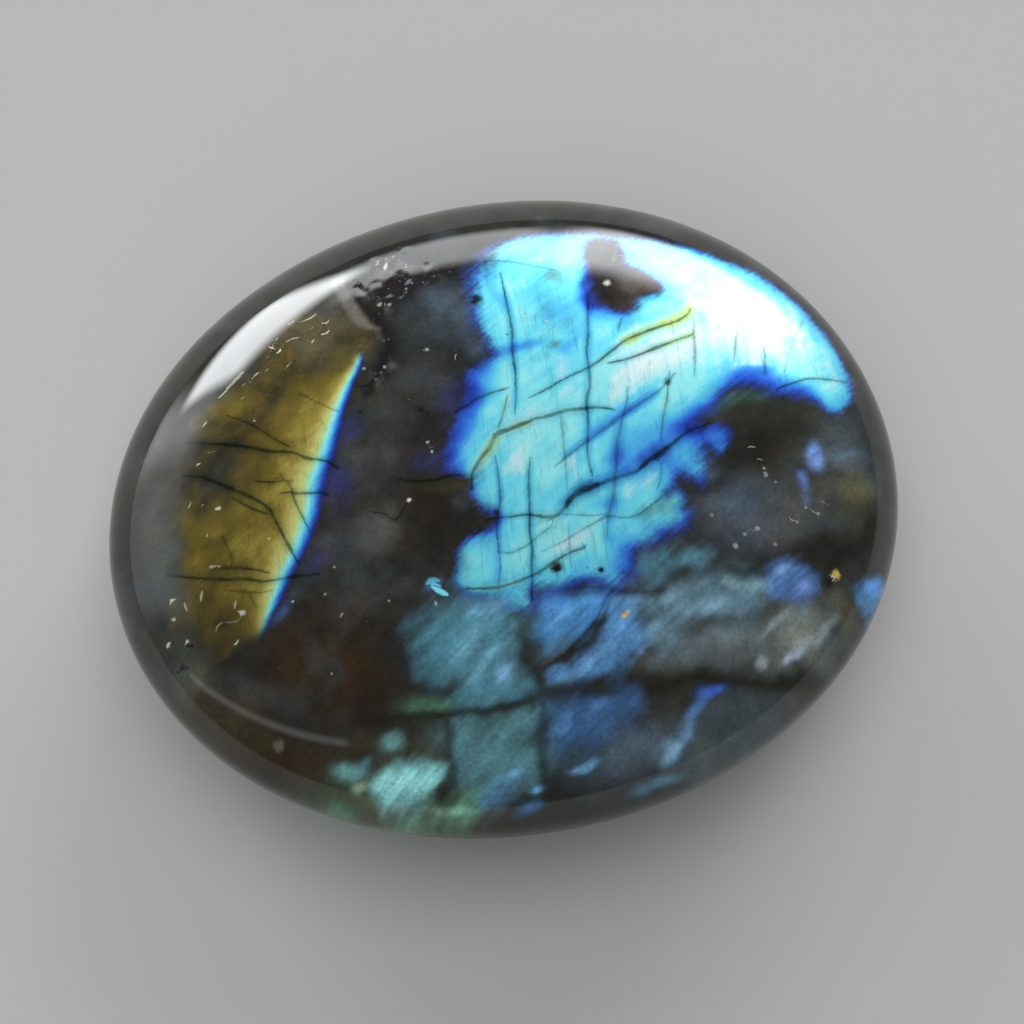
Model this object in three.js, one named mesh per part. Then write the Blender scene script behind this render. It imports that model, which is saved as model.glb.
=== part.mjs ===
// An oval labradorite: one hand-sized pebble of feldspar, cut and polished all over.
// The stone is a flattened dome on a rounder belly, with a small flat oval under it to rest on.
// Millimetres, +Z up. The origin is the middle of the resting face, and +X runs along the long axis.

import * as THREE from "three";

// Driving dimensions
const LENGTH = 58; // along X, over the widest contour
const WIDTH = 49; // along Y, over the widest contour
const THICKNESS = 18; // from the resting face to the crown
const GIRDLE_HEIGHT = 8.6; // height of the widest contour
const REST_SHARE = 0.42; // the resting face's reach, as a share of the outline's

// How full the dome and the belly are: 2 is an ellipse, and more is flatter with a tighter shoulder
const CROWN_FULLNESS = 2.5;
const BELLY_FULLNESS = 2.6;

// The outline is nearly an ellipse. Grinding by hand left it a little three-sided and four-sided.
const OUTLINE_WAVES = [
  { sides: 3, share: 0.0055, firstCornerDeg: 68 },
  { sides: 4, share: 0.0036, firstCornerDeg: 51 },
];

// Long shallow waves that the polishing wheel leaves in the crown, which make reflections bend
const POLISH_WAVES = [
  { depth: 0.06, pitch: 23, headingDeg: 20, phase: 0.7 },
  { depth: 0.045, pitch: 17, headingDeg: 105, phase: 1.9 },
  { depth: 0.025, pitch: 12, headingDeg: 150, phase: 0.4 },
];

// Rings of the mesh
const SEGMENTS_AROUND = 84;
const CROWN_RINGS = 18;
const BELLY_RINGS = 12;

const quarterTurn = Math.PI / 2;

// Height of a quarter of a superellipse at a share of its half-width, as a share of its full height
function fullness(share, exponent) {
  return Math.sqrt(Math.max(0, 1 - share ** exponent));
}

// Half of the cross-section, from the middle of the resting face to the crown.
// x is the reach as a share of the outline's, and y is the height.
function halfSection() {
  const points = [new THREE.Vector2(0, 0)];
  for (let i = 0; i <= BELLY_RINGS; i++) {
    const reach = Math.sin((quarterTurn * i) / BELLY_RINGS);
    const drop = GIRDLE_HEIGHT * fullness(reach, BELLY_FULLNESS);
    points.push(new THREE.Vector2(REST_SHARE + (1 - REST_SHARE) * reach, GIRDLE_HEIGHT - drop));
  }
  for (let i = CROWN_RINGS - 1; i > 0; i--) {
    const reach = Math.sin((quarterTurn * i) / CROWN_RINGS);
    const rise = (THICKNESS - GIRDLE_HEIGHT) * fullness(reach, CROWN_FULLNESS);
    points.push(new THREE.Vector2(reach, GIRDLE_HEIGHT + rise));
  }
  points.push(new THREE.Vector2(0, THICKNESS));
  return points;
}

// The outline's reach in one direction, as a share of a plain ellipse's
function outlineShare(angle) {
  return OUTLINE_WAVES.reduce((share, wave) => {
    const corner = THREE.MathUtils.degToRad(wave.firstCornerDeg);
    return share + wave.share * Math.cos(wave.sides * (angle - corner));
  }, 1);
}

// How far the polish waves lift the crown at a point of the plan
function polishLift(x, y) {
  return POLISH_WAVES.reduce((lift, wave) => {
    const heading = THREE.MathUtils.degToRad(wave.headingDeg);
    const along = x * Math.cos(heading) + y * Math.sin(heading);
    return lift + wave.depth * Math.sin((2 * Math.PI * along) / wave.pitch + wave.phase);
  }, 0);
}

// Turns the half-section into a round body of unit radius, then moves each point out to the oval
function stoneGeometry() {
  const geometry = new THREE.LatheGeometry(halfSection(), SEGMENTS_AROUND);
  geometry.rotateX(quarterTurn);
  const place = geometry.getAttribute("position");
  for (let i = 0; i < place.count; i++) {
    const reach = Math.hypot(place.getX(i), place.getY(i));
    const angle = Math.atan2(place.getY(i), place.getX(i));
    const height = place.getZ(i);
    const x = (LENGTH / 2) * reach * outlineShare(angle) * Math.cos(angle);
    const y = (WIDTH / 2) * reach * outlineShare(angle) * Math.sin(angle);
    const aboveGirdle = Math.max(0, height - GIRDLE_HEIGHT) / (THICKNESS - GIRDLE_HEIGHT);
    place.setXYZ(i, x, y, height + polishLift(x, y) * aboveGirdle);
  }
  return fitToSize(geometry);
}

// Centres the body over the origin, and brings it to its exact length, width and thickness
function fitToSize(geometry) {
  geometry.computeBoundingBox();
  const { min, max } = geometry.boundingBox;
  geometry.translate(-(min.x + max.x) / 2, -(min.y + max.y) / 2, 0);
  geometry.scale(LENGTH / (max.x - min.x), WIDTH / (max.y - min.y), THICKNESS / max.z);
  geometry.computeVertexNormals();
  return geometry;
}

// Dark grey-brown feldspar with a high polish
const feldspar = new THREE.MeshStandardMaterial({
  color: 0x3a3836,
  roughness: 0.12,
  metalness: 0,
});

const stone = new THREE.Mesh(stoneGeometry(), feldspar);
stone.name = "stone";

const labradorite = new THREE.Group();
labradorite.add(stone);

export default labradorite;
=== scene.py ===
# %% [markdown]
# # An oval labradorite
# A labradorite is a dark grey feldspar. Light that enters it meets thousands of thin sheets inside, and
# some of it comes back as blue, cyan or gold. This lesson dresses one polished stone, 58 mm long.
# The CAD model gives the size and the place, and everything here is worked out from its box.

# %% Load the CAD model as a fixed frame
from math import cos, pi, radians, sin
import bpy
import numpy as np
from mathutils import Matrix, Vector
from mathutils.kdtree import KDTree


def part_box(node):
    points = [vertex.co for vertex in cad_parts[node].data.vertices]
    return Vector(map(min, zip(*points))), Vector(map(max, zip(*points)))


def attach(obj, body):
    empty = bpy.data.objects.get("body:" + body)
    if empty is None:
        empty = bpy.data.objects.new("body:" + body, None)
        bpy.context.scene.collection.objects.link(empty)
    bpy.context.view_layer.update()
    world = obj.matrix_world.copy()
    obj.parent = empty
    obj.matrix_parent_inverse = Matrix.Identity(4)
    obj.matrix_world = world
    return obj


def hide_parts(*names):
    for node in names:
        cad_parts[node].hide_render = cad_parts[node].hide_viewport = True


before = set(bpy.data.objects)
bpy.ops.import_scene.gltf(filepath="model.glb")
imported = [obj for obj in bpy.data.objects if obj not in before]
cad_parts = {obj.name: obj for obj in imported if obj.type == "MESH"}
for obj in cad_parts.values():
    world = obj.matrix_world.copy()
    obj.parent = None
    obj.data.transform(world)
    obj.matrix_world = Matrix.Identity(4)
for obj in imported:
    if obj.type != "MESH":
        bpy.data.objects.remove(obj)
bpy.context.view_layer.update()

MM = 0.001  # one millimetre in Blender's metres
stone_low, stone_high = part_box("stone")
LENGTH, WIDTH, THICKNESS = [(high - low) / MM for low, high in zip(stone_low, stone_high)]
print(f"the stone is {LENGTH:.1f} x {WIDTH:.1f} x {THICKNESS:.1f} mm")

# %% [markdown]
# ## The camera
# The photograph was taken from above, a little from the left, with a long lens. The outline of the
# stone gives the angle: an oval seen at a slant is shorter, and its far edge is flatter. A long lens
# far away keeps the near and the far edge at nearly the same scale.

# %% Camera
CAMERA_AZIMUTH = radians(-12.9)
CAMERA_ELEVATION = radians(68)
CAMERA_DISTANCE = 208 * MM
CAMERA_TARGET = Vector((0.5, -0.55, 9.0)) * MM
camera_data = bpy.data.cameras.new("camera")
camera_data.lens = 100
camera_data.sensor_width = 36
camera_data.clip_start = 10 * MM
camera = bpy.data.objects.new("camera", camera_data)
bpy.context.collection.objects.link(camera)
camera_back = Vector((
    sin(CAMERA_AZIMUTH) * cos(CAMERA_ELEVATION),
    -cos(CAMERA_AZIMUTH) * cos(CAMERA_ELEVATION),
    sin(CAMERA_ELEVATION),
))
camera.location = CAMERA_TARGET + camera_back * CAMERA_DISTANCE
camera.rotation_euler = (-camera_back).to_track_quat("-Z", "Y").to_euler()
bpy.context.scene.camera = camera
print("the camera is at", [round(v / MM) for v in camera.location], "mm")

# %% [markdown]
# ## The form of the stone
# The real stone was ground by hand on a wheel. From above it is nearly an ellipse, and from the side
# it is a flattened dome over a rounder belly. A squashed sphere would be too pointed at the rim, so
# the section is a superellipse: the same formula with a higher power, which is flat on top and tight
# at the shoulder. A few long waves, less than a tenth of a millimetre deep, are what the wheel left.
# They don't show in the outline, but they bend every reflection.

# %% Formulas of the outline and the section
GIRDLE_HEIGHT = 8.6 / 18 * THICKNESS  # height of the widest contour
REST_SHARE = 0.42  # the flat underside's reach, as a share of the outline's
CROWN_FULLNESS = 2.5
BELLY_FULLNESS = 2.6
OUTLINE_WAVES = [(3, 0.0055, 68), (4, 0.0036, 51)]  # sides, share, first corner in degrees
POLISH_WAVES = [  # depth and pitch in millimetres, heading in degrees, phase
    (0.06, 23, 20, 0.7),
    (0.045, 17, 105, 1.9),
    (0.025, 12, 150, 0.4),
]


def outline_share(angle):
    """The outline's reach in one direction, as a share of a plain ellipse's."""
    bulges = [share * np.cos(sides * (angle - radians(corner))) for sides, share, corner in OUTLINE_WAVES]
    return 1 + sum(bulges)


def crown_height(reach):
    return GIRDLE_HEIGHT + (THICKNESS - GIRDLE_HEIGHT) * np.sqrt(np.clip(1 - reach**CROWN_FULLNESS, 0, 1))


def belly_height(reach):
    share = np.clip((reach - REST_SHARE) / (1 - REST_SHARE), 0, 1)
    return GIRDLE_HEIGHT * (1 - np.sqrt(np.clip(1 - share**BELLY_FULLNESS, 0, 1)))


def even_reach(height_of, steps):
    """Reaches from 0 to 1 that lie evenly along the surface, so that all triangles are about as long."""
    reach = np.sin(np.linspace(0, pi / 2, 2000))
    along = np.hypot(np.diff(reach) * (LENGTH + WIDTH) / 4, np.diff(height_of(reach)))
    travelled = np.concatenate([[0], np.cumsum(along)])
    return np.interp(np.linspace(0, travelled[-1], steps + 1), travelled, reach)


# %% [markdown]
# ## The mesh
# A globe's grid crowds its triangles at the pole. Here a square grid is bent into a disc instead, so
# the triangles are alike everywhere. That matters because the markings are stored on the vertices:
# the crown, where they show, has one vertex every quarter of a millimetre. The belly needs half as
# many, and it meets the crown along the rim, where it uses every second vertex.

# %% Bend a square grid into a disc
CROWN_CELLS = 272
BELLY_CELLS = CROWN_CELLS // 2


def disc_grid(cells):
    """Rings and angles for the points of a square grid that is bent into a disc."""
    side = np.arange(-cells // 2, cells // 2 + 1)
    column, row = [grid.ravel() for grid in np.meshgrid(side, side)]
    ring = np.maximum(abs(column), abs(row))
    safe = np.maximum(ring, 1)
    beside = abs(column) >= abs(row)
    angle = np.where(beside, row / safe, 2 - column / safe) * pi / 4
    angle = np.where(beside & (column < 0), pi - row / safe * pi / 4, angle)
    angle = np.where(~beside & (row < 0), -pi / 2 + column / safe * pi / 4, angle)
    return ring, angle


def grid_faces(cells):
    """The corners of each square cell, anticlockwise from above."""
    first = (np.arange(cells)[:, None] * (cells + 1) + np.arange(cells)[None, :]).ravel()
    return np.stack([first, first + 1, first + cells + 2, first + cells + 1], axis=1)


def place_points(reach, angle, height_of):
    """Points in millimetres, before they are fitted to the CAD box."""
    share = outline_share(angle) * reach
    x = LENGTH / 2 * share * np.cos(angle)
    y = WIDTH / 2 * share * np.sin(angle)
    z = height_of(reach)
    above = np.clip(z - GIRDLE_HEIGHT, 0, None) / (THICKNESS - GIRDLE_HEIGHT)
    for depth, pitch, heading, phase in POLISH_WAVES:
        travel = x * cos(radians(heading)) + y * sin(radians(heading))
        z = z + above * depth * np.sin(2 * pi * travel / pitch + phase)
    return np.stack([x, y, z], axis=1)


crown_ring, crown_angle = disc_grid(CROWN_CELLS)
belly_ring, belly_angle = disc_grid(BELLY_CELLS)
crown_reach = even_reach(crown_height, CROWN_CELLS // 2)[crown_ring]
belly_reach = even_reach(belly_height, BELLY_CELLS // 2)[belly_ring]
crown_points = place_points(crown_reach, crown_angle, crown_height)
belly_points = place_points(belly_reach, belly_angle, belly_height)
print(len(crown_points), "points on the crown and", len(belly_points), "on the belly")

# %% [markdown]
# Two discs make the stone, one bulging up and one down. They could be merged by distance afterwards,
# but it is surer to number the shared vertices once. Every belly vertex on the rim is a crown vertex,
# and each belly cell there takes in the crown's extra vertex between its two corners.

# %% Join the crown and the belly along the rim


def join_halves():
    """All points, and the faces as lists of corners. The belly's last ring uses the crown's rim."""
    crown_size = CROWN_CELLS + 1
    belly_size = BELLY_CELLS + 1
    belly_column = np.tile(np.arange(belly_size), belly_size)
    belly_row = np.repeat(np.arange(belly_size), belly_size)
    on_rim = belly_ring == BELLY_CELLS // 2
    new_number = len(crown_points) + np.cumsum(~on_rim) - 1
    number = np.where(on_rim, 2 * belly_row * crown_size + 2 * belly_column, new_number)
    faces = grid_faces(CROWN_CELLS).tolist()
    for cell in grid_faces(BELLY_CELLS)[:, ::-1].tolist():
        corners = []
        for here, after in zip(cell, cell[1:] + cell[:1]):
            corners.append(int(number[here]))
            if on_rim[here] and on_rim[after]:
                corners.append(int(number[here] + number[after]) // 2)
        faces.append(corners)
    return np.concatenate([crown_points, belly_points[~on_rim]]), faces


points, faces = join_halves()
middle = (points.max(axis=0) + points.min(axis=0)) / 2
size = points.max(axis=0) - points.min(axis=0)
points[:, 0] = (points[:, 0] - middle[0]) * LENGTH / size[0]
points[:, 1] = (points[:, 1] - middle[1]) * WIDTH / size[1]
points[:, 2] *= THICKNESS / points[:, 2].max()
print(len(points), "points and", sum(len(face) - 2 for face in faces), "triangles")

# %% [markdown]
# ## A map of the stone
# Every marking is placed on a plan, the view from straight above, in millimetres from the middle.
# The sheets that give the colour run through the stone at a slant, so below the rim the plan is
# shifted sideways by a share of the depth, and a marking that reaches the rim goes on under it.

# %% Plan position of every vertex
SLANT = (0.9, -0.5)  # how far the sheets lean, in millimetres sideways for each millimetre down
depth = np.clip(GIRDLE_HEIGHT - points[:, 2], 0, None)
plan = points[:, :2] + depth[:, None] * np.array(SLANT)
plan_x, plan_y = plan.T


def smooth_step(value, low, high):
    share = np.clip((value - low) / (high - low), 0, 1)
    return share * share * (3 - 2 * share)


# %% [markdown]
# Nothing in a stone has a ruled edge. Random swells, smooth hills and hollows on a coarse grid, bend
# the plan before the soft markings are painted on it. Stretched swells give the streaks that the
# sheets show. The numbers come from a seeded generator, so the stone is the same on every run.

# %% Random swells and streaks
HILLS = 128  # hills along a side of the random grid, which then repeats


def swell(x, y, size, seed):
    """Smooth random values from -1 to 1, with hills as many millimetres apart as size says."""
    hills = np.random.default_rng(seed).uniform(-1, 1, (HILLS, HILLS))
    column = x / size + HILLS / 2
    row = y / size + HILLS / 2
    left = np.floor(column).astype(int)
    low = np.floor(row).astype(int)
    right_share = smooth_step(column - left, 0, 1)
    high_share = smooth_step(row - low, 0, 1)

    def between_columns(level):
        left_hill = hills[left % HILLS, level % HILLS]
        right_hill = hills[(left + 1) % HILLS, level % HILLS]
        return left_hill * (1 - right_share) + right_hill * right_share

    return between_columns(low) * (1 - high_share) + between_columns(low + 1) * high_share


def cloud(size, seed, x=plan_x, y=plan_y):
    """Three sizes of swell laid over each other."""
    broad = swell(x, y, size, seed)
    medium = swell(x, y, size / 2.1, seed + 1)
    small = swell(x, y, size / 4.3, seed + 2)
    return (broad + medium / 2 + small / 4) / 1.2


def streak(heading, length, width, seed):
    """Swells stretched along a heading."""
    turn = radians(heading)
    along = plan_x * cos(turn) + plan_y * sin(turn)
    across = plan_y * cos(turn) - plan_x * sin(turn)
    return cloud(1.0, seed, along / length, across / width)


bent_x = plan_x + 0.5 * cloud(3.4, 11)
bent_y = plan_y + 0.5 * cloud(3.4, 21)
brushed = streak(31, 2.6, 0.55, 31)
print("the plan is bent by up to", round(float(abs(bent_x - plan_x).max()), 2), "mm")

# %% [markdown]
# Three tools draw every marking. A curve through a few points makes an outline or a crack, the
# distance to it says how far inside or beside it a vertex lies, and a soft oval marks a place that
# has no edge. Texture painting could do this too, but it needs an image, and a number in a list can
# be changed on its own.

# %% Curves, distances and soft ovals


def smooth_line(corners, closed=False, step=0.06):
    """A curve through given points, sampled every few hundredths of a millimetre."""
    corners = np.array(corners, float)
    if closed:
        rows = [np.roll(corners, shift, axis=0) for shift in (1, 0, -1, -2)]
    else:
        ends = np.vstack([2 * corners[0] - corners[1], corners, 2 * corners[-1] - corners[-2]])
        rows = [ends[:-3], ends[1:-2], ends[2:-1], ends[3:]]
    pieces = []
    for a, b, c, d in zip(*rows):
        t = np.linspace(0, 1, max(2, int(np.linalg.norm(c - b) / step)), endpoint=False)[:, None]
        bend = (2 * a - 5 * b + 4 * c - d) * t**2 + (3 * b - a - 3 * c + d) * t**3
        pieces.append(b + ((c - a) * t + bend) / 2)
    return np.vstack(pieces)


def is_inside(loop, x=plan_x, y=plan_y):
    """Which vertices lie inside a closed curve on the plan."""
    inside = np.zeros(len(x), bool)
    for (ax, ay), (bx, by) in zip(loop, np.roll(loop, -1, axis=0)):
        crosses = (ay > y) != (by > y)
        if crosses.any():
            inside[crosses] ^= x[crosses] < (bx - ax) * (y[crosses] - ay) / (by - ay) + ax
    return inside


def nearest(samples, x=plan_x, y=plan_y, reach=4.0):
    """For each vertex, the number of the nearest sample and its distance, looked for within a reach."""
    tree = KDTree(len(samples))
    for number, sample in enumerate(samples):
        tree.insert((sample[0], sample[1], 0), number)
    tree.balance()
    low, high = samples.min(axis=0) - reach, samples.max(axis=0) + reach
    near = np.flatnonzero((x > low[0]) & (x < high[0]) & (y > low[1]) & (y < high[1]))
    number, distance = np.zeros(len(x), int), np.full(len(x), float(reach))
    found = [tree.find((x[i], y[i], 0)) for i in near]
    number[near] = [hit[1] for hit in found]
    distance[near] = [hit[2] for hit in found]
    return number, np.minimum(distance, reach)


def depth_inside(corners, x=plan_x, y=plan_y, reach=4.0):
    """Millimetres inside a drawn outline, and less than nothing outside it."""
    loop = smooth_line(corners, closed=True, step=0.15)
    distance = nearest(loop, x, y, reach)[1]
    return np.where(is_inside(loop[::3], x, y), distance, -distance)


def soft_oval(x, y, long, short, heading):
    """1 in the middle of an oval on the bent plan, falling to 0 a little outside it."""
    turn = radians(heading)
    along = (bent_x - x) * cos(turn) + (bent_y - y) * sin(turn)
    across = (bent_y - y) * cos(turn) - (bent_x - x) * sin(turn)
    return np.exp(-((along / long) ** 2 + (across / short) ** 2) ** 1.3)


def soft_ovals(rows):
    """The sum of many soft ovals, each times the last number of its row."""
    total = np.zeros(len(plan))
    for x, y, long, short, heading, amount in rows:
        total += amount * soft_oval(x, y, long, short, heading)
    return total


def read_off(steps, value):
    """Reads a value off a list of steps, evenly in between."""
    return np.interp(value, *zip(*steps))


# %% [markdown]
# ## The cyan zone
# Seen from one side, the sheets light up in zones with crisp edges. A zone is drawn as an outline on
# the plan. What is stored is not a colour but the distance to the edge: the shader can roughen that
# distance and still cut a sharp edge, finer than the mesh. A second number, the tone, says which
# colour comes back, from 0 for violet through blue, cyan, green and gold to 1. The sheets get thinner
# towards a zone's edge, so the tone runs down to blue there, in some places over two millimetres and
# in others over a hair's breadth.

# %% Outline of the cyan zone, and of the brown hole in it
CYAN_OUTLINE = [
    (1.4, 15.4), (2.0, 16.8), (3.6, 17.8), (6.2, 18.2), (9.0, 17.8), (13.0, 16.7), (17.0, 15.3),
    (20.5, 13.4), (22.9, 11.6), (24.8, 8.9), (25.9, 6.2), (26.5, 3.8), (26.4, 1.6), (25.3, 0.1),
    (24.1, -0.2), (23.2, 0.7), (21.6, 1.3), (20.2, 1.6), (19.1, 2.2), (17.6, 2.4), (16.7, 2.0),
    (15.8, 1.0), (14.6, 0.3), (14.3, -0.3), (16.0, -0.4), (16.3, -1.1), (15.4, -2.3), (14.3, -1.9),
    (13.9, -3.0), (13.3, -4.8), (12.5, -4.1), (11.8, -3.7), (11.1, -4.5), (10.5, -5.0), (11.4, -4.8),
    (11.9, -5.4), (11.6, -6.1), (12.1, -6.5), (11.6, -7.3), (10.2, -7.9), (8.6, -8.3), (7.6, -8.5),
    (7.2, -9.8), (6.1, -10.6), (5.1, -10.9), (3.6, -10.2), (2.0, -10.3), (0.8, -10.2), (-0.1, -9.8),
    (-0.6, -10.9), (-2.0, -10.7), (-3.3, -9.6), (-4.7, -8.8), (-5.2, -8.1), (-4.8, -6.8), (-4.4, -5.8),
    (-3.3, -5.2), (-2.2, -4.9), (-1.6, -4.3), (-2.3, -3.7), (-2.6, -2.4), (-2.5, -0.8), (-3.5, -0.4),
    (-4.2, 0.2), (-3.9, 1.5), (-3.1, 2.9), (-2.2, 4.1), (-1.7, 5.2), (-1.4, 6.4), (-0.7, 7.4), (0.8, 7.8),
    (1.1, 8.4), (0.9, 9.5), (0.6, 11.0), (0.7, 12.3), (1.0, 14.0),
]
BROWN_HOLE = [
    (9.7, 15.6), (9.4, 13.8), (9.3, 12.3), (9.6, 11.1), (10.2, 10.2), (11.2, 9.6), (12.1, 10.1),
    (12.7, 10.7), (14.1, 11.0), (14.5, 11.7), (13.5, 13.2), (12.6, 14.0), (12.5, 15.4), (12.1, 16.6),
    (10.6, 16.9),
]
EDGE_SOFTNESS = 0.4  # millimetres
SOFT_SIDES = [  # x, y, half length, half width, heading, added softness in millimetres
    (0.9, 11.5, 3.6, 1.2, 90, 0.7), (1.8, 15.6, 2.2, 1.6, 50, 1.0), (1.4, 8.3, 1.6, 0.9, 0, 0.5),
    (2.5, -10.4, 4.2, 1.3, 0, 0.9), (9.5, -8.0, 3.0, 1.4, 15, 0.6), (-3.6, -9.8, 2.4, 1.0, -20, 0.5),
    (13.6, -2.6, 3.4, 1.6, 80, 0.4), (20.5, 2.0, 4.0, 1.0, 0, 0.3), (9.4, 12.0, 2.4, 1.0, 90, 0.5),
]
cyan_depth = np.minimum(depth_inside(CYAN_OUTLINE), -depth_inside(BROWN_HOLE))
cyan_level = cyan_depth / (EDGE_SOFTNESS + soft_ovals(SOFT_SIDES))
print("the cyan zone covers", int((cyan_depth > 0).sum()), "vertices")

# %% [markdown]
# The tone starts as a profile across the edge. Most of the zone has a narrow pale fringe, and some
# sides have a wide blue one. Soft ovals shift it a little in places, and along some lines the sheets
# bend, which makes a greener or a bluer seam.

# %% Tone of the cyan zone
PALE_FRINGE = [  # fringe widths inside the edge, tone
    (-0.8, 0.20), (0.0, 0.30), (0.5, 0.40), (1.0, 0.47), (2.0, 0.53), (4, 0.56), (9, 0.57),
]
BLUE_FRINGE = [
    (-0.8, 0.10), (0.0, 0.15), (0.5, 0.22), (1.0, 0.31), (1.6, 0.40), (2.4, 0.49), (4, 0.55), (9, 0.57),
]
NARROW_FRINGE = 0.5  # millimetres
BLUEST_TONE, GREENEST_TONE = 0.13, 0.74
PLAIN_TONE = 0.60  # the greenest that the zone gets away from its seams
BLUE_SIDES = [  # x, y, half length, half width, heading, added width
    (-0.6, 6.0, 2.0, 1.5, 60, 0.7), (-3.2, 1.6, 2.4, 1.2, 60, 0.35), (-1.8, 3.6, 1.2, 1.2, 60, 0.4),
    (9.4, 12.0, 1.2, 2.2, 0, 0.3), (11.8, -0.9, 4.4, 1.8, 25, 0.7), (16.2, 0.4, 2.2, 1.4, 30, 0.3),
    (19.2, 2.8, 2.2, 1.2, 10, 0.9), (6.6, -9.0, 1.4, 1.2, 0, 0.3), (3.0, -10.4, 2.4, 0.8, 0, 0.5),
    (-2.0, -4.0, 1.0, 0.9, 0, 0.6), (11.0, -7.4, 1.8, 1.0, 0, 0.2), (15.6, -1.2, 1.4, 1.0, 0, 0.9),
    (12.4, -4.4, 1.2, 1.0, 0, 0.5), (22.0, 1.6, 1.6, 0.9, 0, 0.4),
]
CYAN_SHIFTS = [  # x, y, half length, half width, heading, shift of the tone
    (-0.8, 5.6, 1.3, 0.8, 70, -0.08), (9.9, -0.6, 3.6, 1.2, 35, -0.14), (13.8, 0.8, 2.4, 0.8, 30, -0.08),
    (6.4, -8.2, 1.2, 1.2, 10, -0.04), (2.4, 15.4, 0.7, 1.6, 0, -0.08), (2.6, 8.5, 2.2, 0.5, -4, -0.18),
    (5.8, 10.2, 2.0, 2.6, 0, -0.10), (6.8, 11.8, 1.8, 1.6, 20, -0.07), (7.4, 0.9, 3.2, 0.5, 28, -0.10),
    (3.8, -2.2, 2.4, 0.4, 32, -0.07), (9.3, -6.9, 1.6, 0.9, 0, -0.04), (10.6, 2.3, 2.2, 0.6, 30, -0.06),
    (3.4, 4.0, 2.4, 1.4, 20, 0.03), (13.5, 6.5, 5.0, 3.0, 25, 0.04), (8.8, 11.2, 0.6, 1.4, 0, -0.10),
    (1.4, 6.4, 0.5, 1.0, 0, 0.04), (6.4, 7.6, 1.2, 0.6, 40, -0.08), (12.6, 9.7, 1.4, 0.5, 20, 0.06),
    (-3.0, -7.2, 1.8, 1.6, 60, -0.03), (12.2, -2.6, 1.6, 0.7, 20, -0.05),
    (5.8, -4.7, 1.6, 0.5, 10, -0.10), (2.3, -8.9, 2.6, 0.7, 8, -0.08), (7.9, -1.9, 1.2, 0.9, 30, -0.08),
    (3.0, 12.5, 0.35, 2.6, 3, -0.08),
]
TONE_SEAMS = [  # half width, shift of the tone (greener above 0, bluer below), points
    (0.80, 0.14, [(-2.6, -1.0), (-2.2, -0.3), (-1.4, 0.4), (-0.7, 1.1), (-0.1, 1.8)]),
    (0.50, 0.10, [(-0.1, 1.9), (0.9, 2.15), (2.2, 2.35)]),
    (0.90, 0.15, [(10.8, 7.5), (12.2, 7.9), (13.6, 8.2), (14.8, 8.5), (15.6, 8.9), (16.1, 9.4)]),
    (0.60, 0.12, [(12.6, 6.4), (13.8, 6.7), (15.6, 7.1)]),
    (0.35, 0.12, [(-4.2, -8.8), (-3.0, -9.05), (-1.7, -9.1), (-0.8, -9.0)]),
    (0.35, 0.10, [(0.9, 3.2), (1.3, 4.6)]),
    (1.30, -0.15, [(7.4, -3.1), (9.0, -2.7), (10.0, -2.1), (11.0, -1.6), (12.6, -0.7), (13.8, -0.4)]),
    (1.00, -0.13, [(3.2, -4.5), (3.9, -3.9), (4.7, -3.4), (5.8, -3.2), (7.2, -3.0)]),
    (0.80, -0.11, [(8.8, 1.2), (8.1, -0.6), (7.6, -2.2), (6.8, -4.6), (6.2, -5.8), (5.8, -7.4)]),
    (0.60, -0.14, [(4.6, -0.7), (6.6, 0.3), (8.2, 1.1), (10.0, 2.0), (11.8, 2.8)]),
    (0.45, -0.08, [(1.6, -1.2), (0.9, -4.4), (0.5, -6.8), (0.0, -9.0), (-0.4, -10.4)]),
    (0.40, -0.08, [(-0.6, -0.8), (-0.8, -2.4), (-1.3, -4.0), (-1.8, -6.5), (-2.4, -8.8)]),
    (0.45, -0.08, [(8.8, 10.8), (7.6, 6.2), (6.8, 3.2), (6.1, 0.0), (5.8, -2.6)]),
    (0.45, -0.08, [(3.1, 13.0), (2.9, 10.0), (2.35, 6.6), (1.8, 4.0)]),
]

# %% Work out the cyan zone's tone
fringe_width = NARROW_FRINGE + 0.25 * cloud(2.2, 41)
blueness = np.zeros(len(plan))
for x, y, long, short, heading, added in BLUE_SIDES:
    side = soft_oval(x, y, long, short, heading)
    fringe_width = fringe_width + added * side
    blueness = np.clip(blueness + 1.3 * side, 0, 1)
in_fringes = cyan_depth / np.clip(fringe_width, 0.2, None)
tone = read_off(PALE_FRINGE, in_fringes) * (1 - blueness) + read_off(BLUE_FRINGE, in_fringes) * blueness
tone += 0.04 * streak(30, 3.4, 0.9, 51) + 0.05 * cloud(1.8, 61)
tone = np.minimum(tone + soft_ovals(CYAN_SHIFTS), PLAIN_TONE)
greener = np.zeros(len(plan))
bluer = np.zeros(len(plan))
for half_width, shift, corners in TONE_SEAMS:
    beside = shift * smooth_step(nearest(smooth_line(corners))[1], half_width, 0.1)
    greener = np.maximum(greener, beside)
    bluer = np.minimum(bluer, beside)
tone = np.clip(tone + greener + bluer, BLUEST_TONE, GREENEST_TONE)
print(len(BLUE_SIDES), "blue sides,", len(CYAN_SHIFTS), "shifts and", len(TONE_SEAMS), "toned seams")
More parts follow.
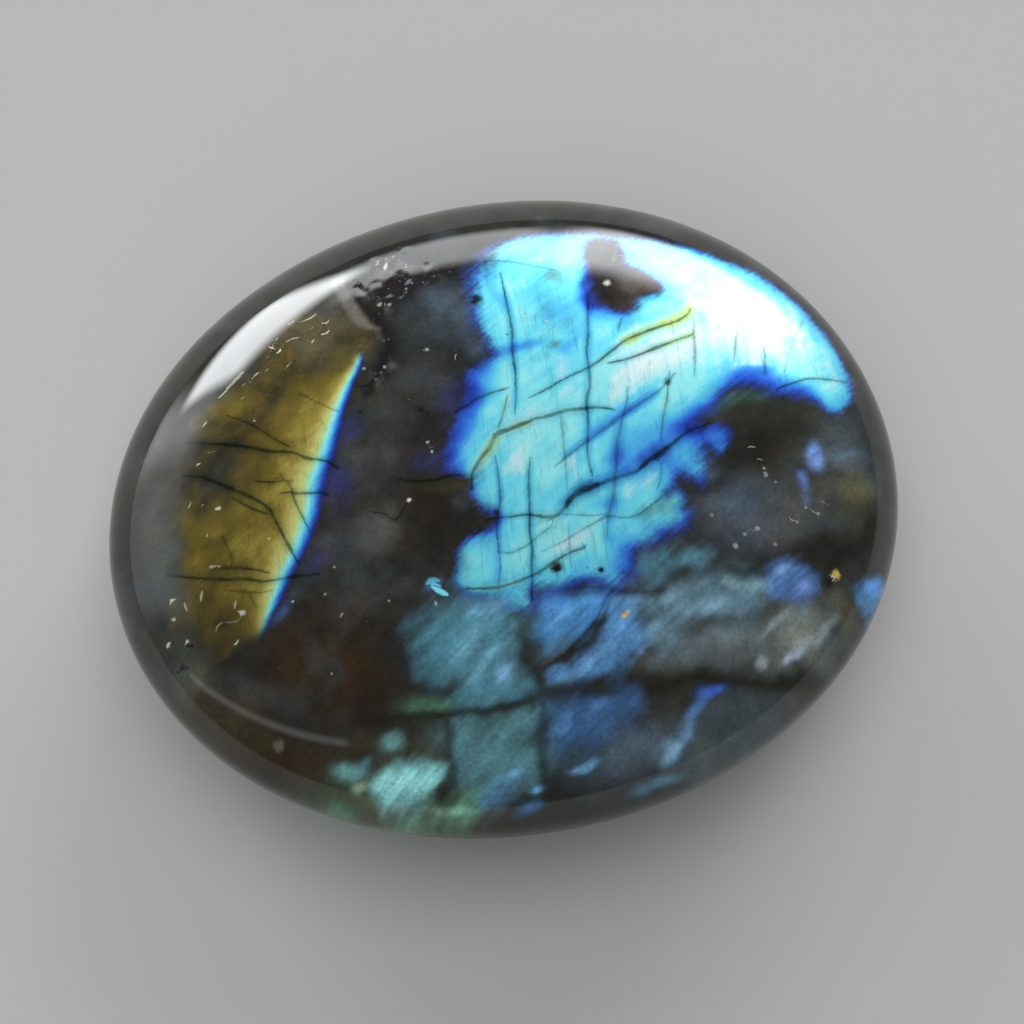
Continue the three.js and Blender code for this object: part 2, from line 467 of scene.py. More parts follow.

# %% [markdown]
# The glow is how much light comes back. In the real stone it is uneven, streaked along the sheets and
# dimmer near an edge. Where it is strongest, the cyan is painted white: a painted highlight for glare.

# %% Glow of the cyan zone
# The largest glows, near x 16 to 21 and y 7, are partly a painted highlight: past 1 the cyan is painted
# white.
CYAN_GLOWS_AND_GLARE = [  # x, y, half length, half width, heading, added glow: far over 1 in all it turns pale
    (16.0, 7.4, 6.4, 2.8, 20, 0.42), (20.6, 6.6, 4.4, 3.8, 0, 0.44), (12.6, 5.4, 4.0, 2.0, 25, 0.28),
    (4.0, 3.4, 3.0, 0.9, 15, 0.24), (0.6, 3.6, 1.2, 1.6, 20, 0.16), (0.6, -0.3, 1.8, 1.0, 30, 0.40),
    (2.6, 1.0, 2.4, 0.6, 25, 0.26), (-2.4, -7.6, 1.8, 1.2, 20, 0.16), (3.5, -6.7, 1.9, 0.9, 15, 0.45),
    (10.8, 7.8, 1.8, 0.9, 30, 0.30), (3.6, 5.9, 1.6, 0.8, 10, 0.26), (8.5, -4.2, 1.5, 0.9, 20, 0.42),
    (-0.6, -5.6, 0.9, 0.8, 40, 0.22), (9.0, 3.0, 1.6, 1.0, 40, 0.30), (10.6, 4.7, 2.2, 0.9, 30, 0.30),
    (9.2, 9.2, 0.9, 1.2, 60, 0.20), (1.6, 11.2, 0.8, 2.4, 0, 0.14), (4.4, -2.0, 1.6, 1.0, 30, 0.18),
    (14.4, 10.4, 1.2, 0.8, 20, 0.20), (5.0, -0.6, 0.9, 0.8, 30, 0.16), (24.9, 2.6, 1.4, 1.8, 0, 0.40),
    (4.3, 13.6, 0.8, 1.8, 0, 0.16), (-1.8, 1.9, 1.2, 0.8, 60, 0.16), (7.6, 8.6, 1.0, 0.6, 40, 0.14),
    (5.6, 7.9, 0.6, 0.5, 40, -0.50), (7.0, 14.0, 0.6, 0.8, 20, -0.45), (6.4, 10.6, 1.8, 2.2, 0, -0.18),
    (4.2, 16.6, 4.0, 1.6, 10, -0.2), (9.6, -6.6, 2.2, 1.2, 0, -0.30), (2.2, -9.7, 3.2, 0.6, 0, -0.2),
    (-3.4, -9.8, 2.0, 0.9, -20, -0.35), (12.2, -4.6, 1.6, 1.2, 0, -0.3),
    (10.2, -0.8, 3.6, 1.0, 30, -0.06), (6.0, -4.9, 2.0, 0.5, 10, -0.12), (12.8, 3.4, 0.6, 0.5, 0, -0.4),
    (-1.9, -3.7, 0.9, 0.8, 0, -0.45), (7.9, -8.6, 1.2, 0.8, 0, -0.25), (18.0, 1.9, 2.0, 0.7, 0, -0.3),
    (1.8, 16.4, 1.2, 1.2, 0, -0.15), (-4.6, -6.6, 1.0, 1.6, 20, -0.30), (9.4, -5.6, 2.0, 0.6, 20, -0.2),
    (2.4, 15.0, 0.6, 1.2, 0, -0.08), (-2.0, -0.4, 1.2, 0.7, 50, -0.30), (13.8, 8.3, 2.2, 0.6, 20, -0.25),
]
EDGE_DIMMING = [(-0.5, 0.50), (0.3, 0.82), (1.2, 1.0)]  # millimetres inside, share of the glow
glow = 0.98 + 0.10 * streak(30, 2.8, 0.7, 71) + 0.10 * streak(84, 5.0, 0.6, 75) + 0.16 * cloud(1.4, 81)
glow = (glow + soft_ovals(CYAN_GLOWS_AND_GLARE)) * read_off(EDGE_DIMMING, cyan_depth)
print("the cyan zone glows up to", round(float(glow[cyan_depth > 0].max()), 2))

# %% [markdown]
# ## The gold zone
# The second zone has one sharp side. There all colours from violet to yellow follow each other within
# two millimetres, and then the gold gets darker and browner to the left. Its other sides fade away.

# %% The gold zone's sharp side and its fading sides
GOLD_EDGE = [
    (-3.0, 20.0), (-6.0, 14.2), (-8.1, 9.9), (-9.3, 7.9), (-10.5, 5.6), (-11.5, 3.3), (-12.6, 1.2),
    (-13.4, -0.9), (-14.8, -3.2), (-16.1, -4.8), (-17.6, -6.7), (-19.6, -9.4), (-23.0, -14.0),
    (-28.0, -21.0),
]
GOLD_OUTLINE = [
    (-6.6, 9.6), (-8.6, 5.6), (-10.6, 1.6), (-12.8, -3.0), (-15.6, -6.4), (-18.4, -8.3), (-20.6, -9.8),
    (-22.6, -10.2), (-24.4, -7.6), (-24.8, -2.5), (-24.0, 2.0), (-22.6, 6.5), (-20.4, 9.6), (-16.8, 12.6),
    (-13.2, 14.0), (-11.6, 12.2), (-9.2, 10.6),
]
GOLD_FRINGE = [
    (-0.8, 0.02), (0.0, 0.08), (0.35, 0.18), (0.75, 0.36), (1.15, 0.55), (1.5, 0.66), (1.9, 0.74),
    (2.6, 0.80), (3.6, 0.86), (5.0, 0.90), (8, 0.93), (12, 0.95),
]
GOLD_SHIFTS = [  # x, y, half length, half width, heading, shift of the tone
    (-18.2, -0.6, 2.8, 2.0, 60, -0.03), (-21.4, 6.2, 2.4, 2.4, 60, 0.05),
    (-14.2, 5.6, 2.4, 1.4, 62, -0.02), (-21.5, -7.5, 3.2, 2.0, -40, 0.03),
    (-14.4, 11.2, 2.4, 1.8, 60, 0.04), (-19.4, -6.6, 1.6, 1.2, 0, 0.02), (-17.6, 7.6, 2.0, 1.4, 40, 0.03),
    (-17.4, 2.6, 1.6, 1.2, 40, 0.02),
]
GOLD_GLOWS_AND_SHADE = [  # x, y, half length, half width, heading, added glow
    # The first oval is painted shade, cast by the cracks beside it.
    (-21.0, 4.8, 3.4, 2.6, 40, -0.55), (-18.6, 4.4, 1.6, 1.6, 60, -0.2),
    (-23.4, -7.5, 3.0, 2.2, -50, -0.3), (-17.6, 11.4, 2.6, 1.6, 45, -0.3),
    (-10.4, 10.8, 2.2, 1.8, 45, -0.5), (-16.4, 8.9, 1.4, 1.0, 0, -0.2), (-17.6, -0.8, 2.6, 2.0, 20, 0.14),
    (-13.4, 6.4, 1.6, 2.8, -25, 0.10), (-14.6, 2.6, 1.4, 1.2, 0, -0.12),
    (-22.4, -3.6, 2.0, 1.8, 0, -0.12), (-20.6, -9.2, 2.2, 1.4, -40, -0.35),
    (-14.9, -3.4, 2.4, 0.6, 50, -0.15), (-19.6, 1.6, 2.2, 1.2, 30, -0.25),
    (-19.0, -6.6, 2.2, 1.4, -40, 0.05), (-15.4, 0.6, 1.2, 1.6, 0, 0.08),
    (-14.0, 10.8, 1.2, 2.0, -20, 0.25), (-18.4, 8.9, 1.4, 0.8, -10, 0.25),
    (-11.4, 11.6, 1.0, 1.6, -30, -0.25), (-21.4, -8.8, 1.6, 1.0, -40, 0.25),
    (-20.8, 3.4, 1.8, 0.8, -35, -0.25),
]
FRINGE_STRETCH = [(-8, 0.32), (-4, 0.6), (2, 0.75), (8, 0.4), (10, 0.28)]  # y, share of the full width
SHARP_SIDE_END = [(-9, 0), (-6, 1)]  # y, glow: the sharp side fades away at its lower end
PLAN_MIDDLE = -6.5  # x: left of it lies the gold zone, and right of it the cyan one

# %% Tone and glow of the gold zone
gold_edge_line = smooth_line(GOLD_EDGE)
far_left = [(-60, -21), (-60, 20)]
west = np.vstack([gold_edge_line[::4], far_left])
gold_side = nearest(gold_edge_line, reach=14)[1] * np.where(is_inside(west), 1, -1)
fraying = 0.8 * cloud(2.4, 91) + 0.5 * brushed
gold_cover = smooth_step(depth_inside(GOLD_OUTLINE, bent_x, bent_y) + fraying, -1.4, 2.2)
gold_tone = read_off(GOLD_FRINGE, gold_side / read_off(FRINGE_STRETCH, plan_y))
gold_tone += 0.035 * cloud(1.5, 101) * smooth_step(gold_side, 1.5, 3) + soft_ovals(GOLD_SHIFTS)
gold_glow = 0.98 + 0.24 * cloud(1.9, 111) + 0.16 * cloud(0.7, 115) + 0.14 * streak(55, 2.4, 0.4, 121)
gold_glow = (gold_glow + soft_ovals(GOLD_GLOWS_AND_SHADE)) * gold_cover
gold_glow *= read_off(SHARP_SIDE_END, plan_y) ** smooth_step(gold_side, 3, 0)

# %% Put the two zones side by side
in_west = plan_x < PLAN_MIDDLE
tone = np.where(in_west, gold_tone, tone)
glow = np.where(in_west, gold_glow, glow)
gold_level = np.where(gold_cover > 0.01, gold_side / EDGE_SOFTNESS, -4)
edge = np.clip(np.where(in_west, gold_level, cyan_level), -4, 4)
print("the gold zone covers", int((gold_cover > 0.5).sum()), "vertices")

# %% [markdown]
# ## Colours of the body
# Between the zones one looks a few millimetres into grey-brown feldspar, smoky in some places and
# rusty in others. Each tint is a soft oval over a dark ground, mixed on the vertices.

# %% A tint from a screen colour


def tint(red, green, blue):
    """A colour as a screen shows it, 0 to 255, as the plain light values that Blender mixes."""
    shown = np.array([red, green, blue]) / 255
    return np.where(shown > 0.04, ((shown + 0.055) / 1.055) ** 2.4, shown / 12.92)


GROUND = tint(38, 37, 32)
SMOKE = tint(62, 65, 66)
MIST = tint(74, 90, 106)
RUST = tint(52, 36, 16)
UMBER = tint(28, 23, 17)
OLIVE = tint(86, 78, 44)
BODY_OVALS = [  # x, y, half length, half width, heading, tint, share
    (-8.5, 4.0, 4.0, 2.6, 60, SMOKE, 0.6), (-1.2, 12.6, 2.4, 2.6, 0, MIST, 0.6),
    (-4.0, 7.4, 1.8, 1.6, 0, SMOKE, 0.7), (-9.6, -3.0, 2.0, 1.4, 30, tint(86, 88, 84), 0.7),
    (-12.6, -3.6, 2.4, 1.4, 30, SMOKE, 0.6), (-15.2, -11.4, 4.6, 3.2, -25, RUST, 0.9),
    (-12.4, -13.8, 3.6, 1.8, -20, tint(46, 29, 14), 0.8), (-19.2, -16.6, 4.2, 1.2, -32, RUST, 0.9),
    (-5.6, -2.8, 3.0, 2.6, 0, UMBER, 0.9), (-4.8, -0.9, 2.0, 0.5, -6, OLIVE, 0.5),
    (-11.6, 13.4, 3.4, 2.4, 30, tint(92, 86, 62), 0.9), (-8.6, 11.0, 2.2, 1.6, 45, OLIVE, 0.7),
    (-16.6, 9.2, 1.6, 1.0, 0, tint(104, 100, 76), 0.7),
    (-22.0, -12.8, 4.4, 1.6, -50, tint(70, 64, 38), 0.6),
    (-24.8, 0.0, 1.8, 7.0, 0, tint(72, 78, 70), 0.7), (19.6, 0.2, 3.8, 1.6, 0, tint(54, 58, 46), 0.5),
    (17.8, -2.6, 3.2, 1.8, 20, UMBER, 0.5), (16.4, -7.6, 4.0, 2.6, 0, tint(86, 92, 98), 0.85),
    (15.8, -6.4, 1.8, 1.6, 0, MIST, 0.6), (22.6, -5.0, 3.4, 3.0, 60, tint(76, 80, 74), 0.7),
    (24.8, -2.4, 2.2, 3.2, 0, tint(78, 86, 86), 0.7), (24.6, -6.2, 1.4, 1.8, -20, tint(92, 92, 66), 0.7),
    (19.4, -7.6, 2.4, 1.4, 0, tint(74, 76, 70), 0.6), (23.4, -10.3, 1.6, 0.6, 20, tint(20, 18, 20), 0.9),
    (25.2, -8.6, 0.5, 1.0, -20, tint(24, 22, 24), 0.9), (20.6, -9.8, 2.0, 0.8, 10, UMBER, 0.6),
    (14.4, -10.9, 3.2, 0.7, -4, tint(38, 34, 26), 0.7),
    (17.4, -16.0, 4.0, 2.4, 25, tint(124, 136, 132), 0.9),
    (12.0, -15.8, 4.6, 1.6, 5, tint(112, 120, 120), 0.85),
    (9.0, -15.2, 2.6, 1.2, 10, tint(88, 94, 94), 0.7), (11.4, -21.2, 6.4, 2.2, 15, tint(76, 88, 92), 0.9),
    (4.0, -21.6, 4.0, 1.6, 5, tint(82, 102, 118), 0.8), (6.8, -19.0, 3.0, 0.8, 5, tint(52, 54, 52), 0.7),
    (-20.6, -12.0, 3.2, 1.0, -40, SMOKE, 0.6), (-4.4, -19.0, 5.4, 2.6, 0, tint(66, 98, 100), 0.8),
    (-12.6, -20.8, 6.0, 1.6, -15, tint(80, 100, 74), 0.6),
    (-4.0, -12.8, 4.6, 3.8, 0, tint(66, 90, 98), 0.75), (-9.6, -12.2, 1.8, 2.2, 0, UMBER, 0.5),
    (-24.6, -8.4, 2.0, 1.6, -60, tint(104, 112, 104), 0.35), (21.4, -14.6, 1.2, 0.8, 80, OLIVE, 0.7),
    (11.1, 10.5, 1.0, 1.0, 0, tint(52, 36, 30), 0.9), (12.8, 12.2, 1.8, 0.9, -8, tint(104, 98, 94), 0.8),
    (10.2, 13.6, 0.8, 1.2, 0, tint(44, 38, 38), 0.9), (8.8, -11.4, 4.6, 1.8, 5, tint(70, 88, 96), 0.7),
    (-12.0, -18.2, 3.6, 1.4, -10, OLIVE, 0.4), (7.0, 14.0, 0.8, 0.9, 20, tint(120, 124, 96), 0.9),
    (5.6, 7.9, 0.6, 0.7, 40, tint(70, 96, 84), 0.9), (2.0, -11.6, 3.0, 1.2, 10, tint(52, 84, 116), 0.7),
    (-1.0, -12.2, 1.2, 1.6, 80, tint(56, 74, 70), 0.7),
]

# %% Mix the tints into the body
body = np.tile(GROUND, (len(plan), 1))


def mix_in(colour, share):
    """Mixes a colour into the body, by a share for each vertex."""
    body[:] += (colour - body) * share[:, None]


for x, y, long, short, heading, colour, share in BODY_OVALS:
    mix_in(colour, share * soft_oval(x, y, long, short, heading))
mix_in(SMOKE, 0.5 * smooth_step(cloud(2.6, 131), 0.0, 0.9))
lighter = 1 + 0.34 * cloud(1.5, 141)
warmer = 1 + 0.12 * cloud(2.0, 151)
body *= lighter[:, None] * warmer[:, None] ** np.array([1, 0, -1])
print(len(BODY_OVALS), "ovals of tint in the body")

# %% [markdown]
# ## Dull flashes
# Around the bright zones the same sheets lie a little too steep, and only a dim teal or blue comes
# back, in brushed streaks. These patches are painted over the body on the bent plan, with their
# edges frayed by the streaks.

# %% Patches of dull flash
TEAL = tint(84, 146, 168)
DIM_AZURE = tint(72, 140, 200)
DIM_BLUE = tint(62, 108, 162)
PALE_TEAL = tint(112, 152, 172)
SEA_GREEN = tint(138, 216, 216)
MOSS = tint(104, 166, 132)
ROYAL = tint(66, 112, 226)
SKY = tint(120, 188, 236)
PEARL = tint(176, 190, 194)
VIOLET = tint(44, 48, 104)
DULL_PATCHES = [  # softness, share, colour, corners
    (1.5, 0.75, TEAL, [(-8.0, -10.2), (-5.0, -9.2), (-3.0, -9.6), (-1.2, -11.0), (-1.6, -12.5),
                       (-2.2, -14.2), (-1.9, -16.2), (-4.5, -16.8), (-6.8, -16.3), (-7.2, -14.6),
                       (-8.2, -13.6), (-8.6, -11.8)]),
    (0.8, 0.85, DIM_AZURE, [(0.2, -10.2), (3.4, -10.4), (5.0, -11.0), (4.2, -12.2), (2.8, -13.0),
                            (1.2, -13.6), (0.1, -13.6), (-0.3, -12.2)]),
    (0.8, 0.85, tint(84, 140, 194), [(0.0, -16.0), (1.9, -14.6), (3.6, -12.9), (5.0, -11.4), (6.8, -11.8),
                                     (6.6, -14.2), (6.2, -15.4), (4.0, -16.3), (1.6, -16.8)]),
    (1.5, 0.62, PALE_TEAL, [(6.6, -11.8), (9.5, -11.8), (13.3, -11.4), (15.8, -12.0), (15.4, -13.4),
                            (14.0, -14.2), (11.5, -14.2), (9.5, -14.6), (7.9, -15.6), (6.8, -14.6)]),
    (0.8, 0.85, tint(82, 124, 184), [(16.4, -11.2), (18.4, -10.8), (19.6, -11.7), (19.2, -13.3),
                                     (17.9, -14.2), (16.6, -13.9), (16.0, -12.7)]),
    (1.5, 0.75, DIM_BLUE, [(-1.0, -17.8), (1.5, -17.6), (4.6, -17.9), (5.4, -18.8), (3.4, -20.0),
                           (0.8, -20.6), (-0.8, -20.2), (-1.2, -18.8)]),
    (0.9, 0.95, tint(152, 234, 236), [(-14.0, -20.4), (-13.4, -19.6), (-12.2, -19.2), (-10.2, -19.0),
                                      (-9.2, -19.4), (-9.2, -20.4), (-10.2, -21.0), (-12.4, -21.2)]),
    (1.6, 0.75, tint(94, 150, 160), [(-8.0, -17.4), (-5.2, -17.6), (-2.4, -17.5), (-2.2, -18.8),
                                     (-2.4, -21.6), (-4.6, -22.4), (-7.8, -21.0)]),
    (0.8, 0.55, MOSS, [(-13.2, -21.9), (-10.4, -21.9), (-7.4, -21.8), (-6.8, -22.6), (-7.2, -23.4),
                       (-9.5, -23.0), (-11.8, -22.6)]),
    (0.5, 0.90, DIM_AZURE, [(22.6, -13.2), (23.6, -12.8), (24.9, -12.2), (26.0, -11.9), (25.4, -13.2),
                            (24.4, -14.3), (23.0, -14.6)]),
    (0.8, 0.50, TEAL, [(7.6, -9.4), (9.4, -9.0), (11.4, -8.9), (12.6, -9.6), (11.6, -10.2), (8.6, -10.8),
                       (7.4, -10.4)]),
]
DULL_OVALS = [  # x, y, half length, half width, heading, colour, share
    (-15.0, -18.7, 1.2, 0.5, -10, SEA_GREEN, 0.55),
    (-14.6, -19.7, 0.7, 0.3, -15, tint(190, 224, 190), 0.6), (-11.9, -17.6, 0.7, 0.5, 0, SEA_GREEN, 0.5),
    (-13.8, -18.4, 0.6, 0.3, 20, TEAL, 0.5), (-9.2, -15.8, 1.7, 0.7, 0, MOSS, 0.35),
    (-11.8, -20.1, 1.8, 0.4, -8, tint(176, 240, 242), 0.6), (-10.4, -19.7, 1.2, 0.3, 10, SEA_GREEN, 0.5),
    (-8.6, -22.4, 1.4, 0.25, -18, tint(150, 214, 190), 0.6), (-16.6, -20.2, 1.6, 0.5, -30, MOSS, 0.5),
    (10.5, -18.75, 0.9, 0.35, 5, ROYAL, 0.95), (9.3, -19.7, 1.2, 0.4, 40, tint(92, 140, 200), 0.7),
    (8.2, -20.9, 1.1, 0.5, 45, tint(112, 160, 204), 0.7),
    (7.0, -22.0, 0.9, 0.6, 30, tint(140, 190, 222), 0.8), (-4.2, -21.3, 0.7, 0.2, 15, SKY, 0.8),
    (-4.8, -21.9, 1.4, 0.6, 20, tint(96, 150, 192), 0.7), (-2.5, -22.7, 0.5, 0.22, 0, SKY, 0.8),
    (-5.8, -22.5, 1.0, 0.6, 0, tint(88, 144, 186), 0.6), (-3.4, -23.7, 1.0, 0.35, 5, DIM_AZURE, 0.7),
    (0.6, -21.9, 0.9, 0.32, 5, SKY, 0.7), (6.0, -23.7, 2.0, 0.3, 8, TEAL, 0.7),
    (-6.9, -7.7, 0.6, 0.3, 10, DIM_AZURE, 0.5), (-2.9, -16.8, 0.5, 0.22, 0, DIM_AZURE, 0.7),
    (21.9, -3.6, 0.5, 0.9, -8, tint(122, 160, 232), 0.85),
    (20.6, -5.1, 0.35, 0.6, -10, tint(110, 142, 220), 0.8),
    (20.3, -5.9, 0.35, 0.5, -10, tint(92, 112, 170), 0.6),
    (20.0, -6.7, 0.35, 0.5, 0, tint(100, 122, 160), 0.5),
    (24.0, -3.6, 1.8, 0.8, 10, tint(104, 126, 146), 0.6), (13.6, -3.4, 1.0, 0.9, 0, MIST, 0.6),
    (-11.4, 0.8, 1.6, 1.2, 60, VIOLET, 0.6), (-10.2, 5.0, 1.4, 0.9, 50, VIOLET, 0.6),
    (-4.8, 0.9, 1.0, 0.9, 0, VIOLET, 0.6), (-14.4, -4.4, 1.2, 0.7, 45, VIOLET, 0.5),
    (-17.6, -7.2, 0.9, 0.45, 45, tint(60, 84, 128), 0.7), (-2.6, 5.2, 1.0, 1.6, -20, VIOLET, 0.4),
    (0.1, 9.8, 0.8, 1.6, 0, MIST, 0.6), (17.4, 1.3, 2.2, 0.5, 10, tint(64, 104, 98), 0.7),
    (14.0, 10.9, 1.6, 0.3, 5, TEAL, 0.7), (-5.4, -12.4, 2.2, 0.5, 32, tint(120, 174, 196), 0.35),
    (-4.6, -13.9, 1.8, 0.35, 30, tint(126, 182, 200), 0.5),
    (-3.1, -14.9, 0.9, 0.5, 30, tint(136, 184, 226), 0.7),
    (-3.0, -10.2, 1.6, 0.5, 10, tint(112, 172, 204), 0.6),
    (-3.2, -13.3, 1.4, 0.25, 25, tint(120, 176, 206), 0.4),
    (0.9, -13.6, 1.2, 0.6, 20, tint(74, 112, 130), 0.6), (1.4, -16.1, 1.2, 0.3, 20, SKY, 0.6),
    (3.0, -15.0, 1.8, 0.35, 36, tint(118, 168, 212), 0.6),
    (4.6, -13.8, 1.4, 0.3, 40, tint(104, 156, 208), 0.5), (1.4, -11.9, 1.2, 0.2, 25, SKY, 0.5),
    (2.6, -11.2, 1.6, 0.3, 12, tint(96, 164, 226), 0.5),
    (7.4, -13.2, 0.6, 1.6, -8, tint(120, 164, 184), 0.5),
    (9.2, -12.2, 1.0, 0.5, 20, tint(140, 180, 204), 0.5),
    (11.6, -13.2, 1.6, 0.6, 5, tint(132, 174, 196), 0.6),
    (13.4, -11.8, 0.7, 0.4, -20, tint(150, 190, 200), 0.6),
    (14.8, -12.4, 0.8, 0.5, 0, tint(130, 168, 180), 0.5),
    (17.4, -11.6, 0.9, 0.4, 10, tint(120, 164, 206), 0.6),
    (18.5, -12.9, 0.5, 0.7, -15, tint(128, 162, 230), 0.7),
    (-0.2, -18.8, 1.2, 0.25, 25, tint(92, 144, 206), 0.6),
    (2.6, -18.4, 1.2, 0.3, 25, tint(88, 134, 194), 0.5),
    (24.3, -12.8, 0.9, 0.5, 35, tint(96, 170, 252), 0.9),
    (17.0, -17.5, 1.0, 0.25, 22, tint(190, 206, 230), 0.7), (19.4, -15.9, 1.6, 0.3, 40, PEARL, 0.5),
    (15.8, -15.3, 1.4, 0.25, 30, PEARL, 0.5), (14.3, -17.5, 0.5, 0.4, 0, PEARL, 0.5),
    (18.2, -16.7, 1.2, 0.3, 15, PEARL, 0.4),
]

# %% Paint the dull flashes
dull = np.zeros(len(plan))
fray = 0.35 * brushed + 0.45 * cloud(1.3, 161)


def paint(cover, colour):
    """Lays a colour over the body, streaked, and notes how much of it there is."""
    streaked = colour * (1 + 0.22 * brushed + 0.14 * cloud(0.9, 165))[:, None]
    mix_in(streaked, cover)
    dull[:] += (1 - dull) * cover


for softness, share, colour, corners in DULL_PATCHES:
    inner = depth_inside(corners, bent_x, bent_y, reach=3) + fray
    paint(share * smooth_step(inner, -softness, softness), colour)
for x, y, long, short, heading, colour, share in DULL_OVALS:
    paint(share * np.clip(soft_oval(x, y, long, short, heading) * (1.1 + fray), 0, 1), colour)
print(len(DULL_PATCHES), "patches and", len(DULL_OVALS), "ovals of dull flash")

# %% [markdown]
# Broad dark seams part the patches. They are wider than a cell of the mesh, so they are painted too.

# %% Broad seams
SEAMS = [  # half width, ink, points
    (0.30, 0.90, [(-13.0, -15.9), (-11.0, -16.2), (-8.0, -16.5), (-5.6, -17.0), (-4.0, -17.1),
                  (-2.0, -17.1)]),
    (0.55, 0.70, [(-2.0, -17.1), (0.6, -17.2), (3.0, -17.2), (5.4, -17.0), (7.4, -17.6)]),
    (0.50, 0.92, [(6.6, -17.8), (8.4, -17.9), (10.8, -18.0), (13.0, -18.7), (15.0, -19.1), (17.2, -19.15),
                  (19.4, -18.8)]),
    (0.50, 0.35, [(-0.5, -10.9), (-1.0, -12.5), (-1.1, -13.4)]),
    (0.40, 0.70, [(-1.1, -13.0), (-1.2, -14.0), (-1.0, -15.4), (-1.0, -16.6), (-1.5, -18.0),
                  (-1.75, -19.5), (-1.8, -21.0), (-2.0, -23.5)]),
    (0.38, 0.70, [(-8.1, -16.4), (-8.35, -18.0), (-8.3, -19.6), (-8.4, -21.0), (-9.4, -21.5)]),
    (0.55, 0.50, [(9.6, -10.8), (11.0, -10.9), (13.0, -11.1), (15.0, -11.2), (16.3, -11.4)]),
    (0.45, 0.70, [(-6.4, -0.8), (-5.2, -0.85), (-3.8, -0.9)]),
    (0.35, 0.75, [(20.3, -12.9), (20.8, -12.2), (21.8, -11.3), (23.2, -10.6), (24.6, -9.6), (25.4, -8.2)]),
    (0.30, 0.50, [(2.2, -10.3), (4.0, -10.6), (5.6, -11.1), (7.2, -11.5), (9.0, -11.7)]),
    (0.20, 0.70, [(5.3, -10.8), (4.6, -11.6), (3.8, -12.6), (3.0, -13.3), (2.0, -14.1), (0.8, -14.8),
                  (-0.6, -15.2)]),
    (0.40, 0.40, [(9.0, -14.6), (12.0, -14.4), (14.4, -14.5), (16.0, -14.4)]),
    (0.28, 0.50, [(18.6, -10.0), (20.0, -10.0), (21.6, -9.6)]),
    (0.30, 0.50, [(-13.2, -13.5), (-10.0, -14.0), (-8.5, -14.6), (-7.3, -15.1)]),
    (0.34, 0.75, [(-4.9, 5.1), (-4.5, 4.6), (-3.6, 4.4), (-3.0, 4.4)]),
]

# %% Paint the seams
seam = np.zeros(len(plan))
for half_width, ink, corners in SEAMS:
    distance = nearest(smooth_line(corners, step=0.2), bent_x, bent_y)[1]
    seam = np.maximum(seam, ink * smooth_step(distance + 0.25 * fray, 2.0 * half_width, 0.1 * half_width))
mix_in(tint(32, 30, 20), seam)
print(len(SEAMS), "seams")

# %% [markdown]
# ## Cracks, needles and flakes
# Feldspar splits along flat planes, and every split shows as a thin dark line under the polish. A
# line a tenth of a millimetre wide is finer than the mesh, so it can't be painted on the vertices.
# Instead, each vertex remembers the nearest point on any line. Between vertices that point hardly
# moves, so the shader can measure its own distance to it and draw the line as fine as it likes.
# Lines that cross or run close together must be in different sets, or their nearest points mix.

